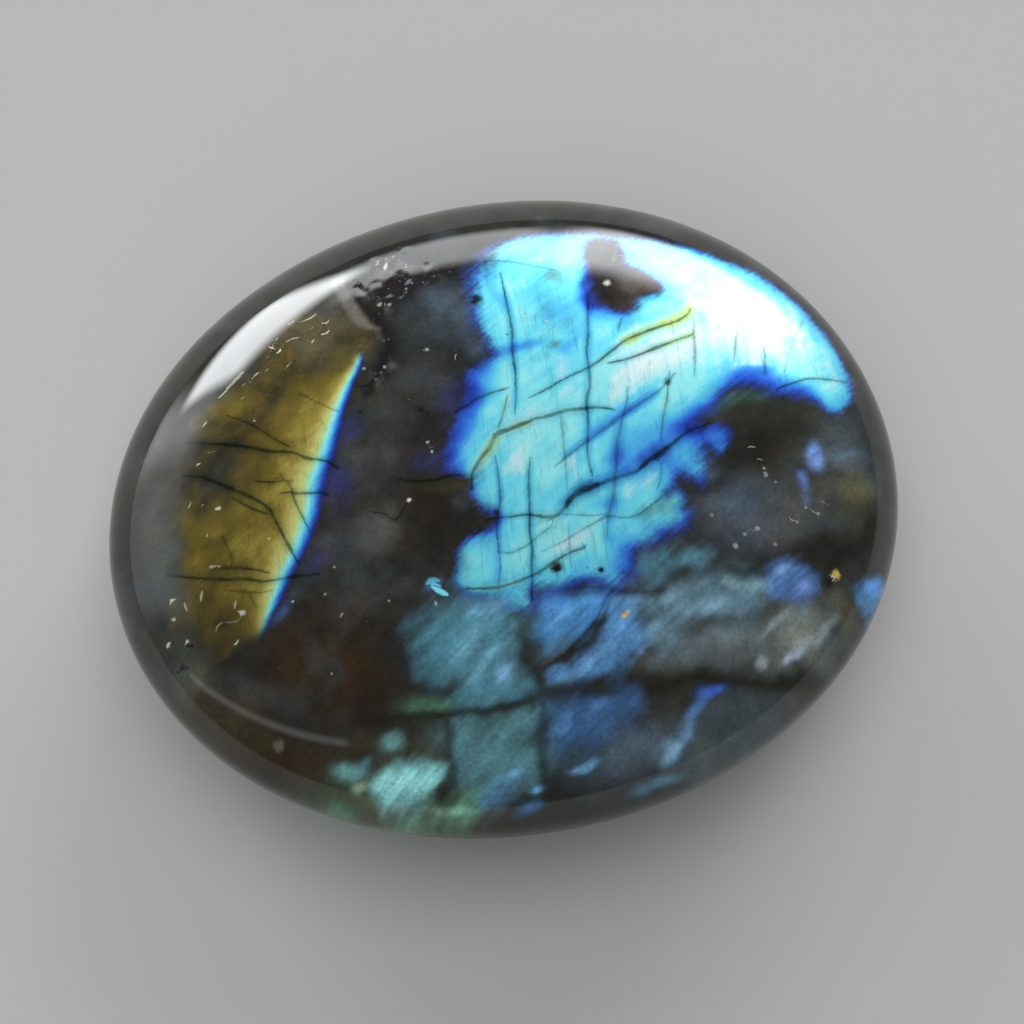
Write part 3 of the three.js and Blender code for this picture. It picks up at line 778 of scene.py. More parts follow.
# %% Cracks, each with its half width and its ink
CRACKS_ACROSS = [  # half width in millimetres, ink (below 0 draws a pale line), points on the plan
    (0.12, 0.85, [(-2.6, 4.3), (-1.6, 4.6), (-0.8, 4.95), (0.6, 5.2), (1.7, 5.3)]),
    (0.12, 0.85, [(2.8, 4.2), (4.2, 4.6), (5.5, 5.1), (6.8, 5.5), (7.6, 5.7), (8.6, 6.2), (9.6, 6.8),
                  (10.8, 7.45), (12.2, 7.85), (13.6, 8.15), (14.8, 8.4), (15.6, 8.8), (16.1, 9.4)]),
    (0.17, 0.85, [(-2.7, -1.8), (-2.3, -0.5), (-1.5, 0.4), (-0.7, 1.1), (-0.1, 1.9), (0.9, 2.1),
                  (2.0, 2.3), (3.0, 2.5), (4.0, 2.5), (5.0, 2.65), (6.3, 2.55), (7.6, 2.4), (8.6, 2.0)]),
    (0.12, 0.55, [(3.4, -1.4), (5.0, -0.5), (6.2, 0.1), (7.5, 0.7), (9.0, 1.5), (10.5, 2.2), (12.0, 2.9),
                  (12.7, 3.4), (13.6, 4.2)]),
    (0.18, 0.85, [(-2.2, -4.2), (-0.5, -4.35), (0.8, -4.5), (1.9, -4.9), (2.6, -5.0), (3.3, -4.6),
                  (3.9, -4.0), (4.6, -3.6), (5.5, -3.45), (6.4, -3.3), (7.6, -3.1), (9.0, -2.9),
                  (10.0, -2.3), (10.8, -1.95), (11.8, -1.4), (12.8, -0.8), (13.6, -0.5), (15.2, -0.1)]),
    (0.15, 0.85, [(-4.6, -8.7), (-3.0, -9.05), (-1.7, -9.1), (-0.6, -8.95), (0.5, -8.7), (1.3, -8.4),
                  (2.6, -7.9), (4.2, -7.6)]),
    (0.09, 0.65, [(-2.0, -6.6), (-1.0, -6.9), (0.3, -6.6), (1.2, -6.1), (2.2, -5.6)]),
    (0.09, 0.60, [(1.0, -7.3), (2.4, -7.0), (3.8, -6.5), (5.0, -6.1), (6.2, -5.8), (7.2, -6.1),
                  (8.2, -6.1), (9.3, -5.6), (10.4, -5.0)]),
    (0.13, 0.65, [(20.6, 1.9), (22.0, 2.3), (23.4, 2.6), (25.2, 2.5), (26.3, 2.4)]),
    (0.08, 0.45, [(2.4, 16.4), (3.6, 16.1), (5.0, 15.5), (6.2, 14.9), (7.4, 14.3)]),
    (0.17, 0.90, [(-21.6, 7.7), (-20.2, 7.0), (-18.8, 6.4), (-17.4, 5.7), (-16.0, 4.9), (-15.0, 4.5),
                  (-14.1, 4.1), (-13.4, 3.5), (-12.5, 3.1), (-11.9, 2.7), (-11.4, 2.1)]),
    (0.17, 0.90, [(-22.3, 5.2), (-21.0, 4.5), (-19.8, 3.5), (-19.0, 2.8), (-18.0, 1.9), (-17.3, 1.2),
                  (-16.8, 0.5), (-16.5, -0.5), (-16.2, -1.8), (-15.8, -3.2), (-15.5, -4.2)]),
    (0.11, 0.85, [(-15.8, 1.4), (-15.2, 1.3), (-14.4, 1.0), (-13.6, 0.8), (-12.9, 0.6), (-12.5, 0.2)]),
    (0.15, 0.90, [(-24.8, -1.7), (-23.5, -2.4), (-22.0, -3.1), (-20.8, -3.6), (-19.5, -4.0),
                  (-18.2, -4.6), (-17.0, -4.8), (-15.8, -4.95), (-14.3, -5.2)]),
    (0.12, 0.85, [(-7.6, 0.2), (-6.3, -0.25), (-5.0, -0.45), (-3.8, -0.4), (-2.9, -0.6)]),
    (0.08, 0.70, [(-10.0, -1.6), (-9.0, -2.1), (-8.3, -2.7), (-7.6, -2.0), (-7.1, -1.5)]),
    (0.12, 0.35, [(2.2, -10.3), (3.5, -10.4), (4.6, -10.7), (5.5, -11.1), (7.0, -11.5), (9.0, -11.7)]),
    (0.08, 0.55, [(-9.2, 8.2), (-8.2, 8.0), (-7.4, 8.4)]),
    (0.24, -0.95, [(-6.85, -8.1), (-6.4, -8.5), (-5.95, -8.85)]),
    (0.22, -0.45, [(-7.2, -7.75), (-6.7, -7.6), (-6.25, -7.8)]),
    (0.07, 0.55, [(-13.0, 8.8), (-11.4, 7.2), (-10.4, 6.4)]),
]
CRACKS_ALONG = [
    (0.30, 0.80, [(3.6, -4.25), (4.3, -3.7), (5.2, -3.45), (6.2, -3.35)]),
    (0.27, 0.80, [(9.2, -2.7), (9.9, -2.3), (10.6, -2.0), (11.6, -1.5)]),
    (0.11, 0.80, [(3.2, 15.0), (3.05, 12.5), (2.9, 10.0), (2.5, 8.0), (2.35, 6.6), (2.1, 5.2), (1.8, 4.0),
                  (1.5, 3.1)]),
    (0.12, 0.75, [(8.9, 11.5), (8.1, 8.2), (7.7, 7.0), (7.55, 5.8), (7.3, 4.3), (6.8, 3.2), (6.5, 1.6),
                  (6.1, 0.0), (5.85, -1.0), (5.8, -2.7)]),
    (0.14, 0.55, [(9.9, 3.7), (9.6, 2.6), (8.8, 1.0), (8.1, -0.6), (7.7, -2.0), (7.3, -3.2), (6.8, -4.6),
                  (6.2, -5.8), (5.7, -7.4)]),
    (0.12, 0.85, [(9.0, 5.8), (10.3, 5.85), (12.0, 6.2), (13.5, 6.6), (15.8, 7.1)]),
    (0.09, 0.65, [(0.2, 2.4), (0.6, 3.1), (1.0, 3.9), (1.4, 4.8)]),
    (0.12, 0.85, [(1.9, -0.3), (1.5, -1.5), (1.2, -2.8), (0.9, -4.4), (0.6, -5.6), (0.5, -6.8),
                  (0.2, -8.0), (0.0, -9.0), (-0.4, -10.6)]),
    (0.09, 0.70, [(-0.5, 0.4), (-0.7, -1.8), (-0.9, -3.0), (-1.3, -4.0), (-1.6, -5.0), (-1.8, -6.5),
                  (-2.0, -7.8), (-2.4, -9.0)]),
    (0.08, 0.55, [(3.0, -4.9), (4.0, -5.2), (5.2, -5.5), (6.2, -5.6)]),
    (0.10, 0.65, [(13.2, 4.4), (12.8, 3.3), (12.4, 2.1), (11.9, 1.0), (11.4, -0.3), (11.2, -1.0)]),
    (0.09, 0.50, [(10.8, -2.6), (10.5, -3.7), (10.0, -4.6)]),
    (0.10, 0.80, [(-18.4, 8.8), (-17.0, 7.6), (-16.2, 6.7), (-15.2, 5.5), (-14.3, 4.6)]),
    (0.10, 0.80, [(-19.2, 2.2), (-18.4, 1.35), (-17.6, 0.6), (-16.9, 0.1)]),
    (0.10, 0.80, [(-17.4, 2.9), (-16.4, 2.5), (-15.6, 2.3), (-14.6, 2.1)]),
    (0.10, 0.75, [(-15.6, 3.0), (-15.0, 1.8), (-14.9, 0.6), (-14.6, -0.8), (-14.3, -2.2)]),
    (0.13, 0.80, [(-21.4, -2.6), (-20.0, -3.0), (-18.8, -3.5), (-17.6, -4.2)]),
    (0.08, 0.60, [(-21.0, -4.3), (-19.9, -4.8), (-18.6, -5.3), (-17.6, -5.4)]),
    (0.12, 0.45, [(-20.4, -0.3), (-20.1, -1.8), (-20.1, -3.0)]),
    (0.12, 0.50, [(-19.6, -4.7), (-19.3, -5.5), (-19.0, -6.4)]),
    (0.15, 0.55, [(5.3, -10.8), (4.6, -11.6), (3.8, -12.6), (3.0, -13.3), (2.0, -14.0), (0.8, -14.7),
                  (-0.5, -15.1)]),
    (0.10, 0.50, [(16.1, 8.6), (15.7, 7.0), (15.3, 5.2), (14.8, 3.5)]),
    (0.10, 0.45, [(19.0, 7.2), (18.5, 5.8), (18.0, 4.4)]),
    (0.10, 0.45, [(20.7, 6.0), (20.4, 4.6), (20.0, 3.0)]),
    (0.09, 0.40, [(24.6, 8.2), (23.0, 5.8), (21.5, 3.2)]),
    (0.09, 0.60, [(10.9, 9.4), (10.6, 8.8), (10.3, 8.2)]),
    (0.09, 0.45, [(4.7, 2.4), (4.4, 0.2), (4.1, -1.8), (3.8, -3.4)]),
    (0.08, 0.40, [(3.4, -5.6), (3.1, -7.0), (2.8, -9.0)]),
]
# Pale needles, painted bright as glints where they catch the light.
PALE_NEEDLES_AND_GLINTS = [  # half width, ink, points: short bent slivers that catch the light
    (0.05, -0.7, [(-12.8, 14.9), (-12.4, 15.05), (-12.0, 15.3)]),
    (0.05, -0.7, [(-11.8, 14.9), (-11.0, 14.95), (-10.4, 15.3)]),
    (0.04, -0.5, [(-11.2, 13.95), (-10.9, 14.1), (-10.7, 14.1)]),
    (0.06, -0.8, [(-10.3, 14.2), (-9.9, 14.1), (-9.6, 14.35)]),
    (0.07, -0.8, [(-10.5, 13.2), (-10.1, 13.2), (-9.8, 13.45)]),
    (0.06, -0.8, [(-11.4, 12.6), (-11.15, 12.85), (-11.0, 13.1)]),
    (0.05, -0.6, [(-13.1, 13.45), (-12.5, 13.55), (-12.0, 13.5)]),
    (0.05, -0.7, [(-14.35, 13.55), (-14.1, 13.25), (-13.9, 13.3)]),
    (0.07, -0.8, [(-13.95, 12.7), (-13.7, 12.75), (-13.55, 13.1)]),
    (0.05, -0.6, [(-13.8, 13.85), (-13.55, 14.1), (-13.4, 14.0)]),
    (0.06, -0.7, [(-15.1, 11.35), (-14.9, 11.4), (-14.7, 11.65)]),
    (0.05, -0.6, [(-16.0, 11.1), (-15.6, 11.45), (-15.2, 11.5)]),
    (0.05, -0.6, [(-16.9, 10.75), (-16.5, 10.95), (-16.1, 10.9)]),
    (0.04, -0.5, [(-13.6, 11.0), (-13.25, 11.4), (-12.9, 11.55)]),
    (0.05, -0.6, [(-18.8, 10.35), (-18.2, 10.7), (-17.6, 11.15)]),
    (0.04, -0.6, [(-15.45, 10.6), (-15.3, 10.8), (-15.3, 11.1)]),
    (0.05, -0.5, [(-17.2, 9.7), (-16.9, 9.75), (-16.7, 9.95)]),
    (0.05, -0.5, [(-14.7, 12.4), (-14.5, 12.7), (-14.4, 12.65)]),
    # A painted highlight: a wider glint beside the window's reflection.
    (0.16, -0.35, [(-18.0, 10.9), (-17.2, 11.5), (-16.5, 12.0)]),
    (0.05, -0.6, [(-20.2, 6.3), (-19.8, 6.1), (-19.6, 6.25)]),
    (0.05, -0.6, [(-21.3, 5.5), (-21.0, 5.65), (-20.8, 5.5)]),
    (0.05, -0.6, [(-20.2, 8.5), (-19.9, 8.7), (-19.8, 8.95)]),
    (0.06, -0.6, [(-22.5, 2.4), (-22.2, 2.7), (-22.0, 3.1)]),
    (0.05, -0.5, [(-21.5, 2.1), (-21.35, 2.3), (-21.1, 2.5)]),
    (0.08, -0.8, [(-20.5, 1.75), (-20.25, 1.65), (-20.15, 1.9)]),
    (0.06, -0.6, [(-21.5, -0.1), (-21.4, 0.05), (-21.45, 0.2)]),
    (0.13, -0.4, [(-21.7, -2.3), (-21.3, -2.5), (-20.9, -2.55)]),
    (0.09, -0.6, [(-25.0, -3.9), (-24.8, -3.6), (-24.4, -3.65)]),
    (0.08, -0.6, [(-25.1, -4.8), (-24.9, -5.0), (-24.75, -4.85)]),
    (0.11, -0.4, [(-23.95, -4.1), (-23.9, -4.5), (-23.85, -4.85)]),
    (0.09, -0.5, [(-22.55, -3.8), (-22.7, -4.2), (-22.8, -4.5)]),
    (0.11, -0.6, [(-25.8, -6.5), (-25.65, -6.3), (-25.45, -6.3)]),
    (0.09, -0.6, [(-24.5, -6.9), (-24.3, -6.75), (-24.1, -6.9)]),
    (0.09, -0.25, [(-22.15, -6.9), (-21.9, -6.5), (-21.4, -6.45)]),
    (0.07, -0.2, [(-21.4, -6.5), (-20.8, -6.7), (-20.2, -6.6)]),
    (0.08, -0.5, [(-20.35, -5.3), (-20.5, -5.6), (-20.55, -5.9)]),
    (0.07, -0.6, [(-21.15, -8.2), (-20.9, -8.15), (-20.7, -7.95)]),
    (0.12, -0.8, [(-20.3, -6.15), (-20.05, -6.3), (-19.85, -6.4)]),
    (0.06, -0.4, [(-13.55, -8.6), (-13.35, -8.35), (-13.1, -8.25)]),
    (0.05, -0.5, [(-5.0, 2.4), (-4.85, 2.6), (-4.7, 2.55)]),
    (0.05, -0.5, [(-4.9, 1.9), (-4.75, 2.1), (-4.6, 2.0)]),
    (0.05, -0.5, [(-4.8, 1.4), (-4.75, 1.6), (-4.65, 1.5)]),
    (0.04, -0.4, [(-1.6, 8.4), (-1.5, 8.8), (-1.35, 8.9)]),
    (0.05, -0.4, [(-3.7, 9.8), (-3.4, 9.65), (-3.15, 9.7)]),
    (0.05, -0.35, [(17.2, -2.4), (17.5, -2.35), (17.9, -2.5)]),
    (0.05, -0.45, [(17.6, -3.3), (17.9, -3.35), (18.1, -3.6)]),
    (0.05, -0.35, [(20.6, -7.4), (20.8, -7.7), (21.2, -7.8)]),
    (0.05, -0.35, [(18.9, -7.9), (19.1, -8.15), (19.4, -8.2)]),
    (0.05, -0.3, [(21.6, -6.9), (21.9, -7.2), (22.1, -7.2)]),
]

# %% Points along the cracks and needles


def line_samples(lines):
    """Points along every line, with its half width, which tapers to the ends, and its ink."""
    rows = []
    for half_width, ink, corners in lines:
        line = smooth_line(corners)
        taper = np.sin(np.linspace(0.12, pi - 0.12, len(line))) ** 0.4
        uneven = 1 + 0.35 * swell(line[:, 0], line[:, 1], 0.9, 171)
        rows.append(np.column_stack([line, half_width * taper * uneven, np.full(len(line), ink)]))
    return np.vstack(rows)


across = line_samples(CRACKS_ACROSS)
along = line_samples(CRACKS_ALONG + PALE_NEEDLES_AND_GLINTS)
across_number, across_far = nearest(across[:, :2])
along_number, along_far = nearest(along[:, :2])
print(len(CRACKS_ACROSS) + len(CRACKS_ALONG), "cracks and", len(PALE_NEEDLES_AND_GLINTS), "needles")

# %% [markdown]
# ## Inclusions
# Black grains and white and golden flakes lie in the stone, and the flakes are painted as glints. They
# use the same trick as the cracks, with a point in place of a line. Crumbly veins of another mineral, and
# one side of the brown hole, never took the polish. There the surface itself is rough, so it is carved into
# the mesh.

# %% Grains and flakes
# Dark grains are the stone's own; bright and golden flakes are painted glints.
GRAINS = [  # x, y, radius, ink: below 0 is dark, above 0 is bright, and 2 is golden
    (1.85, -8.65, 0.50, -1), (4.8, -9.45, 0.27, -1), (0.95, 13.1, 0.50, -0.95), (1.2, 9.4, 0.11, -0.7),
    (2.45, 9.6, 0.11, -0.6), (3.9, -9.1, 0.1, -0.6), (-24.05, -7.2, 0.15, -0.9), (-24.4, -7.0, 0.1, -0.8),
    (-25.1, -8.3, 0.17, -0.85), (-25.4, -8.4, 0.1, -0.8), (-24.7, -8.4, 0.13, -0.8),
    (-24.9, -8.05, 0.09, -0.7), (-4.8, 5.1, 0.2, -0.9), (-4.4, 4.7, 0.16, -0.8), (-9.0, 6.0, 0.16, -0.8),
    (12.8, 3.5, 0.3, -0.75), (20.7, -12.6, 0.3, -0.8), (12.45, 16.1, 0.16, -0.6),
    (11.5, 14.9, 0.14, -0.5), (11.9, 15.5, 0.1, -0.5), (12.2, 14.6, 0.1, -0.4), (-1.4, -3.8, 0.2, -0.8),
    (-2.2, -4.4, 0.16, -0.6), (-2.3, -3.3, 0.13, -0.5), (-7.1, -1.5, 0.16, 1), (10.6, 12.6, 0.28, 1),
    (-20.05, -6.3, 0.2, 0.9), (-24.3, -6.8, 0.14, 0.8), (-25.7, -6.4, 0.16, 0.5),
    (-24.8, -3.6, 0.15, 0.5), (-24.9, -4.9, 0.12, 0.4), (-16.5, -6.6, 0.1, 0.6), (-14.2, -6.7, 0.1, 0.4),
    (-13.2, -5.0, 0.1, 0.4), (-20.2, 1.7, 0.13, 0.7), (-16.5, 7.6, 0.08, 0.6), (-4.9, 2.5, 0.11, 0.55),
    (-4.75, 1.7, 0.11, 0.55), (-3.4, 9.8, 0.13, 0.5), (5.5, 10.1, 0.13, 0.6), (14.5, -9.4, 0.2, 0.4),
    (16.4, -8.4, 0.18, 0.4), (15.4, -8.7, 0.15, 0.3), (18.0, -4.6, 0.18, 0.35), (13.4, -7.0, 0.13, 0.25),
    (-10.0, -8.3, 0.1, 0.35), (-6.9, -9.3, 0.12, 0.4), (-14.9, -12.1, 0.1, 0.35),
    (-19.5, -15.4, 0.4, 0.15), (-17.2, -1.7, 0.1, 0.6), (-6.9, -9.2, 0.12, 0.5), (5.6, -12.9, 0.2, 2),
    (21.4, -12.1, 0.32, 2), (6.0, -12.7, 0.12, 2), (-5.9, 14.5, 0.2, 0.4), (-5.2, 14.3, 0.16, 0.4),
    (-8.1, 9.4, 0.13, 0.35), (18.0, -4.1, 0.14, 0.35), (18.6, -5.2, 0.1, 0.3), (17.4, -9.7, 0.14, 0.3),
    (20.3, -7.3, 0.12, 0.35), (21.1, -7.8, 0.14, 0.35), (19.4, -8.3, 0.13, 0.3),
]

# %% Find the nearest grain
grains = np.array(GRAINS)
grain_number, grain_far = nearest(grains[:, :2])
print(len(grains), "grains and flakes")

# %% Outlines of the crumbly veins, and of a pale strip beside them
CRUMBLY_OUTLINES = [
    [(-7.9, 17.2), (-7.4, 15.6), (-6.9, 14.0), (-6.2, 12.6), (-5.0, 12.9), (-4.6, 13.6), (-3.2, 13.9),
     (-2.2, 15.0), (-0.8, 14.9), (0.3, 14.6), (0.6, 16.0), (0.0, 17.0), (-2.4, 17.4), (-3.0, 19.4),
     (-5.6, 19.8), (-6.4, 17.6)],
    [(-6.6, 13.2), (-5.1, 13.0), (-4.9, 11.4), (-5.2, 9.8), (-5.6, 8.8), (-7.0, 8.0), (-8.2, 7.2),
     (-8.5, 7.3), (-7.4, 8.7), (-6.6, 10.0), (-6.3, 11.6)],
    [(11.2, 14.6), (12.0, 14.4), (12.9, 15.8), (12.4, 16.6), (11.8, 15.6)],
]
DARK_VEIN = [
    (-7.6, 16.9), (-7.2, 15.0), (-6.5, 13.4), (-6.1, 12.2), (-6.2, 10.6), (-7.2, 8.8), (-8.3, 7.4),
]
PALE_STRIP = [
    (-8.9, 17.9), (-8.6, 16.0), (-8.2, 14.2), (-7.8, 13.2), (-6.9, 12.5), (-6.3, 12.3), (-6.9, 13.0),
    (-7.3, 14.3), (-7.7, 15.8), (-8.1, 17.9),
]
PIT_DEPTH = 0.05  # millimetres

# %% Carve the crumbly veins and the dark grains, and tint the veins
crumbly = np.full(len(plan), -3.0)
for corners in CRUMBLY_OUTLINES:
    crumbly = np.maximum(crumbly, depth_inside(corners, bent_x, bent_y) / 0.5 + 1.4 * cloud(0.9, 181))
crumbly = np.clip(crumbly, -3, 3)
hollows = cloud(1.0, 191) + 0.4 * swell(plan_x, plan_y, 0.55, 195)
pitted = smooth_step(crumbly, -0.5, 1.5) * smooth_step(hollows, -0.1, 0.8)
in_grain = smooth_step(grain_far / grains[grain_number, 2], 1.3, 0.5) * (grains[grain_number, 3] < 0)
points[:, 2] -= (depth == 0) * PIT_DEPTH * (pitted + 0.6 * in_grain)
crumb_share = smooth_step(cloud(0.9, 201) + 0.5 * swell(plan_x, plan_y, 0.5, 205), 0.0, 0.9)[:, None]
crumb_body = tint(32, 28, 31) * (1 - crumb_share) + tint(84, 80, 78) * crumb_share
mix_in(crumb_body, 0.85 * smooth_step(crumbly, -0.8, 1.0))
from_vein = nearest(smooth_line(DARK_VEIN))[1] + 0.2 * cloud(0.8, 211)
mix_in(tint(20, 17, 20), 0.8 * smooth_step(from_vein, 0.55, 0.1))
mix_in(tint(112, 106, 98), 0.75 * smooth_step(depth_inside(PALE_STRIP), -0.25, 0.2))
print("pits go down to", round(float((pitted * PIT_DEPTH).max()), 3), "mm")

# %% [markdown]
# ## Build the mesh object
# The numbers go onto the mesh as vector attributes, three at a time. The underside isn't in view in
# the photograph. There the sheets lie the other way, so its flashes are dimmed.

# %% Mesh with its attributes
UNDERSIDE_DIMMING = 0.6
dimming = 1 - UNDERSIDE_DIMMING * smooth_step(depth / GIRDLE_HEIGHT, 0.1, 1.0)
mesh = bpy.data.meshes.new("polished_stone")
mesh.from_pydata((points * MM).tolist(), [], faces)
mesh.shade_smooth()


def store(name, *columns):
    """Keeps three numbers for each vertex under one name."""
    layer = mesh.attributes.new(name, "FLOAT_VECTOR", "POINT")
    layer.data.foreach_set("vector", np.column_stack(columns).astype(np.float32).ravel())


store("plan", plan_x, plan_y, depth)
store("flash", edge, np.clip(tone, 0, 1), np.clip(glow, 0, 2) * dimming)
store("haze", dull, crumbly, depth)
store("body_tint", np.clip(body, 0.001, 1))
store("across_at", across[across_number, :2], depth)
store("across_facts", across_far, across[across_number, 2:])
store("along_at", along[along_number, :2], depth)
store("along_facts", along_far, along[along_number, 2:])
store("grain_at", grains[grain_number, :2], depth)
store("grain_facts", grain_far, grains[grain_number, 2:])
stone = bpy.data.objects.new("polished_stone", mesh)
bpy.context.collection.objects.link(stone)
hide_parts("stone")
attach(stone, "root")
print("attributes:", [layer.name for layer in mesh.attributes if not layer.name.startswith(".")])

# %% [markdown]
# ## Wiring nodes from code
# A material is a graph. Written out link by link it is hard to follow, so this small helper adds a
# node and feeds its inputs in one call, and the material then reads as a list of steps.

# %% A helper that adds and joins nodes


class Wiring:
    def __init__(self, tree):
        self.tree = tree

    def feed(self, socket, value):
        if isinstance(value, bpy.types.NodeSocket):
            self.tree.links.new(value, socket)
        else:
            socket.default_value = value

    def add(self, kind, inputs=None, **settings):
        node = self.tree.nodes.new(kind)
        for name, value in settings.items():
            setattr(node, name, value)
        for name, value in (inputs or {}).items():
            self.feed(node.inputs[name], value)
        return node

    def math(self, operation, first, second=0.0, clamp=False):
        node = self.add("ShaderNodeMath", {0: first, 1: second}, operation=operation, use_clamp=clamp)
        return node.outputs[0]

    def times(self, first, second, clamp=False):
        return self.math("MULTIPLY", first, second, clamp)

    def plus(self, first, second, clamp=False):
        return self.math("ADD", first, second, clamp)

    def vector(self, operation, first, second):
        node = self.add("ShaderNodeVectorMath", {0: first}, operation=operation)
        self.feed(node.inputs["Scale" if operation == "SCALE" else 1], second)
        return node.outputs["Value" if operation == "DISTANCE" else "Vector"]

    def triple(self, x, y, z):
        return self.add("ShaderNodeCombineXYZ", {0: x, 1: y, 2: z}).outputs[0]

    def parts(self, vector):
        return self.add("ShaderNodeSeparateXYZ", {0: vector}).outputs

    def turned(self, vector, angle):
        """A vector turned about the upright axis."""
        inputs = {"Vector": vector, "Angle": angle}
        return self.add("ShaderNodeVectorRotate", inputs, rotation_type="Z_AXIS").outputs[0]

    def between(self, value, low, high, bottom=0.0, top=1.0):
        """Smoothly from bottom to top as value goes from low to high."""
        ends = {"Value": value, "From Min": low, "From Max": high, "To Min": bottom, "To Max": top}
        return self.add("ShaderNodeMapRange", ends, interpolation_type="SMOOTHSTEP").outputs["Result"]

    def blend(self, share, first, second, how="MIX"):
        node = self.add("ShaderNodeMix", {0: share, 6: first, 7: second}, data_type="RGBA", blend_type=how)
        return node.outputs[2]

    def lit(self, colour, share):
        """A colour made brighter or darker by a share that varies around 0."""
        return self.vector("SCALE", colour, self.plus(share, 1.0))

    def stored(self, name):
        """Three numbers that the mesh keeps, and the same as a vector."""
        vector = self.add("ShaderNodeAttribute", attribute_name=name).outputs["Vector"]
        return [*self.parts(vector), vector]

    def place_mm(self):
        """Where the point is on the object, in millimetres."""
        return self.vector("SCALE", self.add("ShaderNodeTexCoord").outputs["Object"], 1 / MM)


def new_group(name, inputs, outputs):
    """An empty node group with named sockets. An input without a start value is a vector."""
    tree = bpy.data.node_groups.new(name, "ShaderNodeTree")
    for label, start in inputs:
        kind = "NodeSocketVector" if start is None else "NodeSocketFloat"
        socket = tree.interface.new_socket(label, in_out="INPUT", socket_type=kind)
        if start is not None:
            socket.default_value = start
    for label in outputs:
        tree.interface.new_socket(label, in_out="OUTPUT", socket_type="NodeSocketFloat")
    return Wiring(tree), tree.nodes.new("NodeGroupInput").outputs, tree.nodes.new("NodeGroupOutput").inputs


# %% [markdown]
# ## Shared effects
# The effects that are used more than once are node groups: cloudy mottling, fine streaks along a
# heading, a net of hairlines, lines and grains drawn by distance, and scattered flecks that are painted
# glints.

# %% Group: mottling
wires, given, result = new_group("mottling", [("Size", 1.0), ("Detail", 3.0)], ["Value"])
hills = wires.add("ShaderNodeTexNoise", {
    "Vector": wires.place_mm(),
    "Scale": wires.math("DIVIDE", 1.0, given["Size"]),
    "Detail": given["Detail"],
    "Roughness": 0.6,
})
wires.feed(result["Value"], wires.plus(hills.outputs["Fac"], -0.5))
mottling = wires.tree

# %% Group: streaks, and the hairlines that they cross zero in
wires, given, result = new_group(
    "streaks",
    [("Heading", 0.0), ("Length", 4.0), ("Width", 0.3), ("Seed", 0.0)],
    ["Value", "Hairlines"],
)
turned = wires.turned(wires.place_mm(), wires.times(given["Heading"], -pi / 180))
squeeze = wires.triple(given["Length"], given["Width"], given["Length"])
shift = wires.triple(given["Seed"], given["Seed"], given["Seed"])
lines = wires.add("ShaderNodeTexNoise", {
    "Vector": wires.vector("ADD", wires.vector("DIVIDE", turned, squeeze), shift),
    "Scale": 1.0,
    "Detail": 2.0,
    "Roughness": 0.55,
})
value = wires.plus(lines.outputs["Fac"], -0.5)
wires.feed(result["Value"], value)
wires.feed(result["Hairlines"], wires.between(wires.math("ABSOLUTE", value), 0.004, 0.022, 1.0, 0.0))
streaks = wires.tree

# %% Group: drawn by distance
MESH_SLACK = 0.18  # millimetres: how far off a distance can be between two vertices
wires, given, result = new_group(
    "drawn",
    [("Place", None), ("Nearest", None), ("Far", 0.0), ("Half width", 0.1), ("Wobble", 0.05)],
    ["Mask", "Shade"],
)
wobble = wires.add("ShaderNodeTexNoise", {"Vector": given["Place"], "Scale": 2.6, "Detail": 3.0})
centred = wires.vector("SUBTRACT", wobble.outputs["Color"], (0.5, 0.5, 0.5))
moved = wires.vector("ADD", given["Place"], wires.vector("SCALE", centred, given["Wobble"]))
own = wires.vector("DISTANCE", moved, given["Nearest"])
distance = wires.math("MAXIMUM", own, wires.plus(given["Far"], -MESH_SLACK))
half = given["Half width"]


def fades_out(how_far, start, end):
    """1 up to a share of the line's half width, falling to 0 at another."""
    return wires.between(how_far, wires.times(half, start), wires.times(half, end), 1.0, 0.0)


wires.feed(result["Mask"], fades_out(distance, 0.35, 1.4))
wires.feed(result["Shade"], fades_out(given["Far"], 0.5, 4.5))
drawn = wires.tree

# %% Group: flecks, painted glints
wires, given, result = new_group("glint_flecks", [("Spacing", 1.0), ("Radius", 0.1), ("Share", 0.3)], ["Mask"])
cells = wires.add("ShaderNodeTexVoronoi", {
    "Vector": wires.place_mm(),
    "Scale": wires.math("DIVIDE", 1.0, given["Spacing"]),
})
chance = wires.add("ShaderNodeSeparateColor", {0: cells.outputs["Color"]}).outputs
chosen = wires.math("LESS_THAN", chance[0], given["Share"])
reach = wires.times(wires.math("DIVIDE", given["Radius"], given["Spacing"]), wires.plus(chance[1], 0.4))
spot = wires.between(cells.outputs["Distance"], wires.times(reach, 0.3), reach, 1.0, 0.0)
wires.feed(result["Mask"], wires.times(spot, wires.times(chosen, chance[2])))
glint_flecks = wires.tree
print("groups:", [group.name for group in (mottling, streaks, drawn, glint_flecks)])

# %% [markdown]
# ## The material
# The colour is built in layers, from the depth of the stone upwards: the painted body, the bright
# zones, then cracks, grains and flakes. Real labradorite sends its colour back mostly one way, like
# brushed metal, so the bright zones are partly metallic with a broad gloss. The polish is a clear
# coat over all of it.

# %% Colours of the flash
FLASH_TONES = [
    (0.00, tint(26, 25, 34)), (0.06, tint(28, 32, 78)), (0.12, tint(32, 52, 150)),
    (0.20, tint(42, 92, 214)), (0.30, tint(62, 142, 240)), (0.42, tint(88, 200, 250)),
    (0.53, tint(118, 234, 252)), (0.61, tint(160, 248, 252)), (0.67, tint(170, 244, 216)),
    (0.73, tint(198, 232, 150)), (0.79, tint(206, 200, 118)), (0.85, tint(164, 148, 66)),
    (0.91, tint(118, 102, 38)), (0.96, tint(88, 76, 30)), (1.00, tint(56, 49, 27)),
]
# Painted highlight: the white that the brightest cyan is painted with, standing for glare.
PAINTED_GLARE_WHITE = (*tint(232, 252, 252), 1)


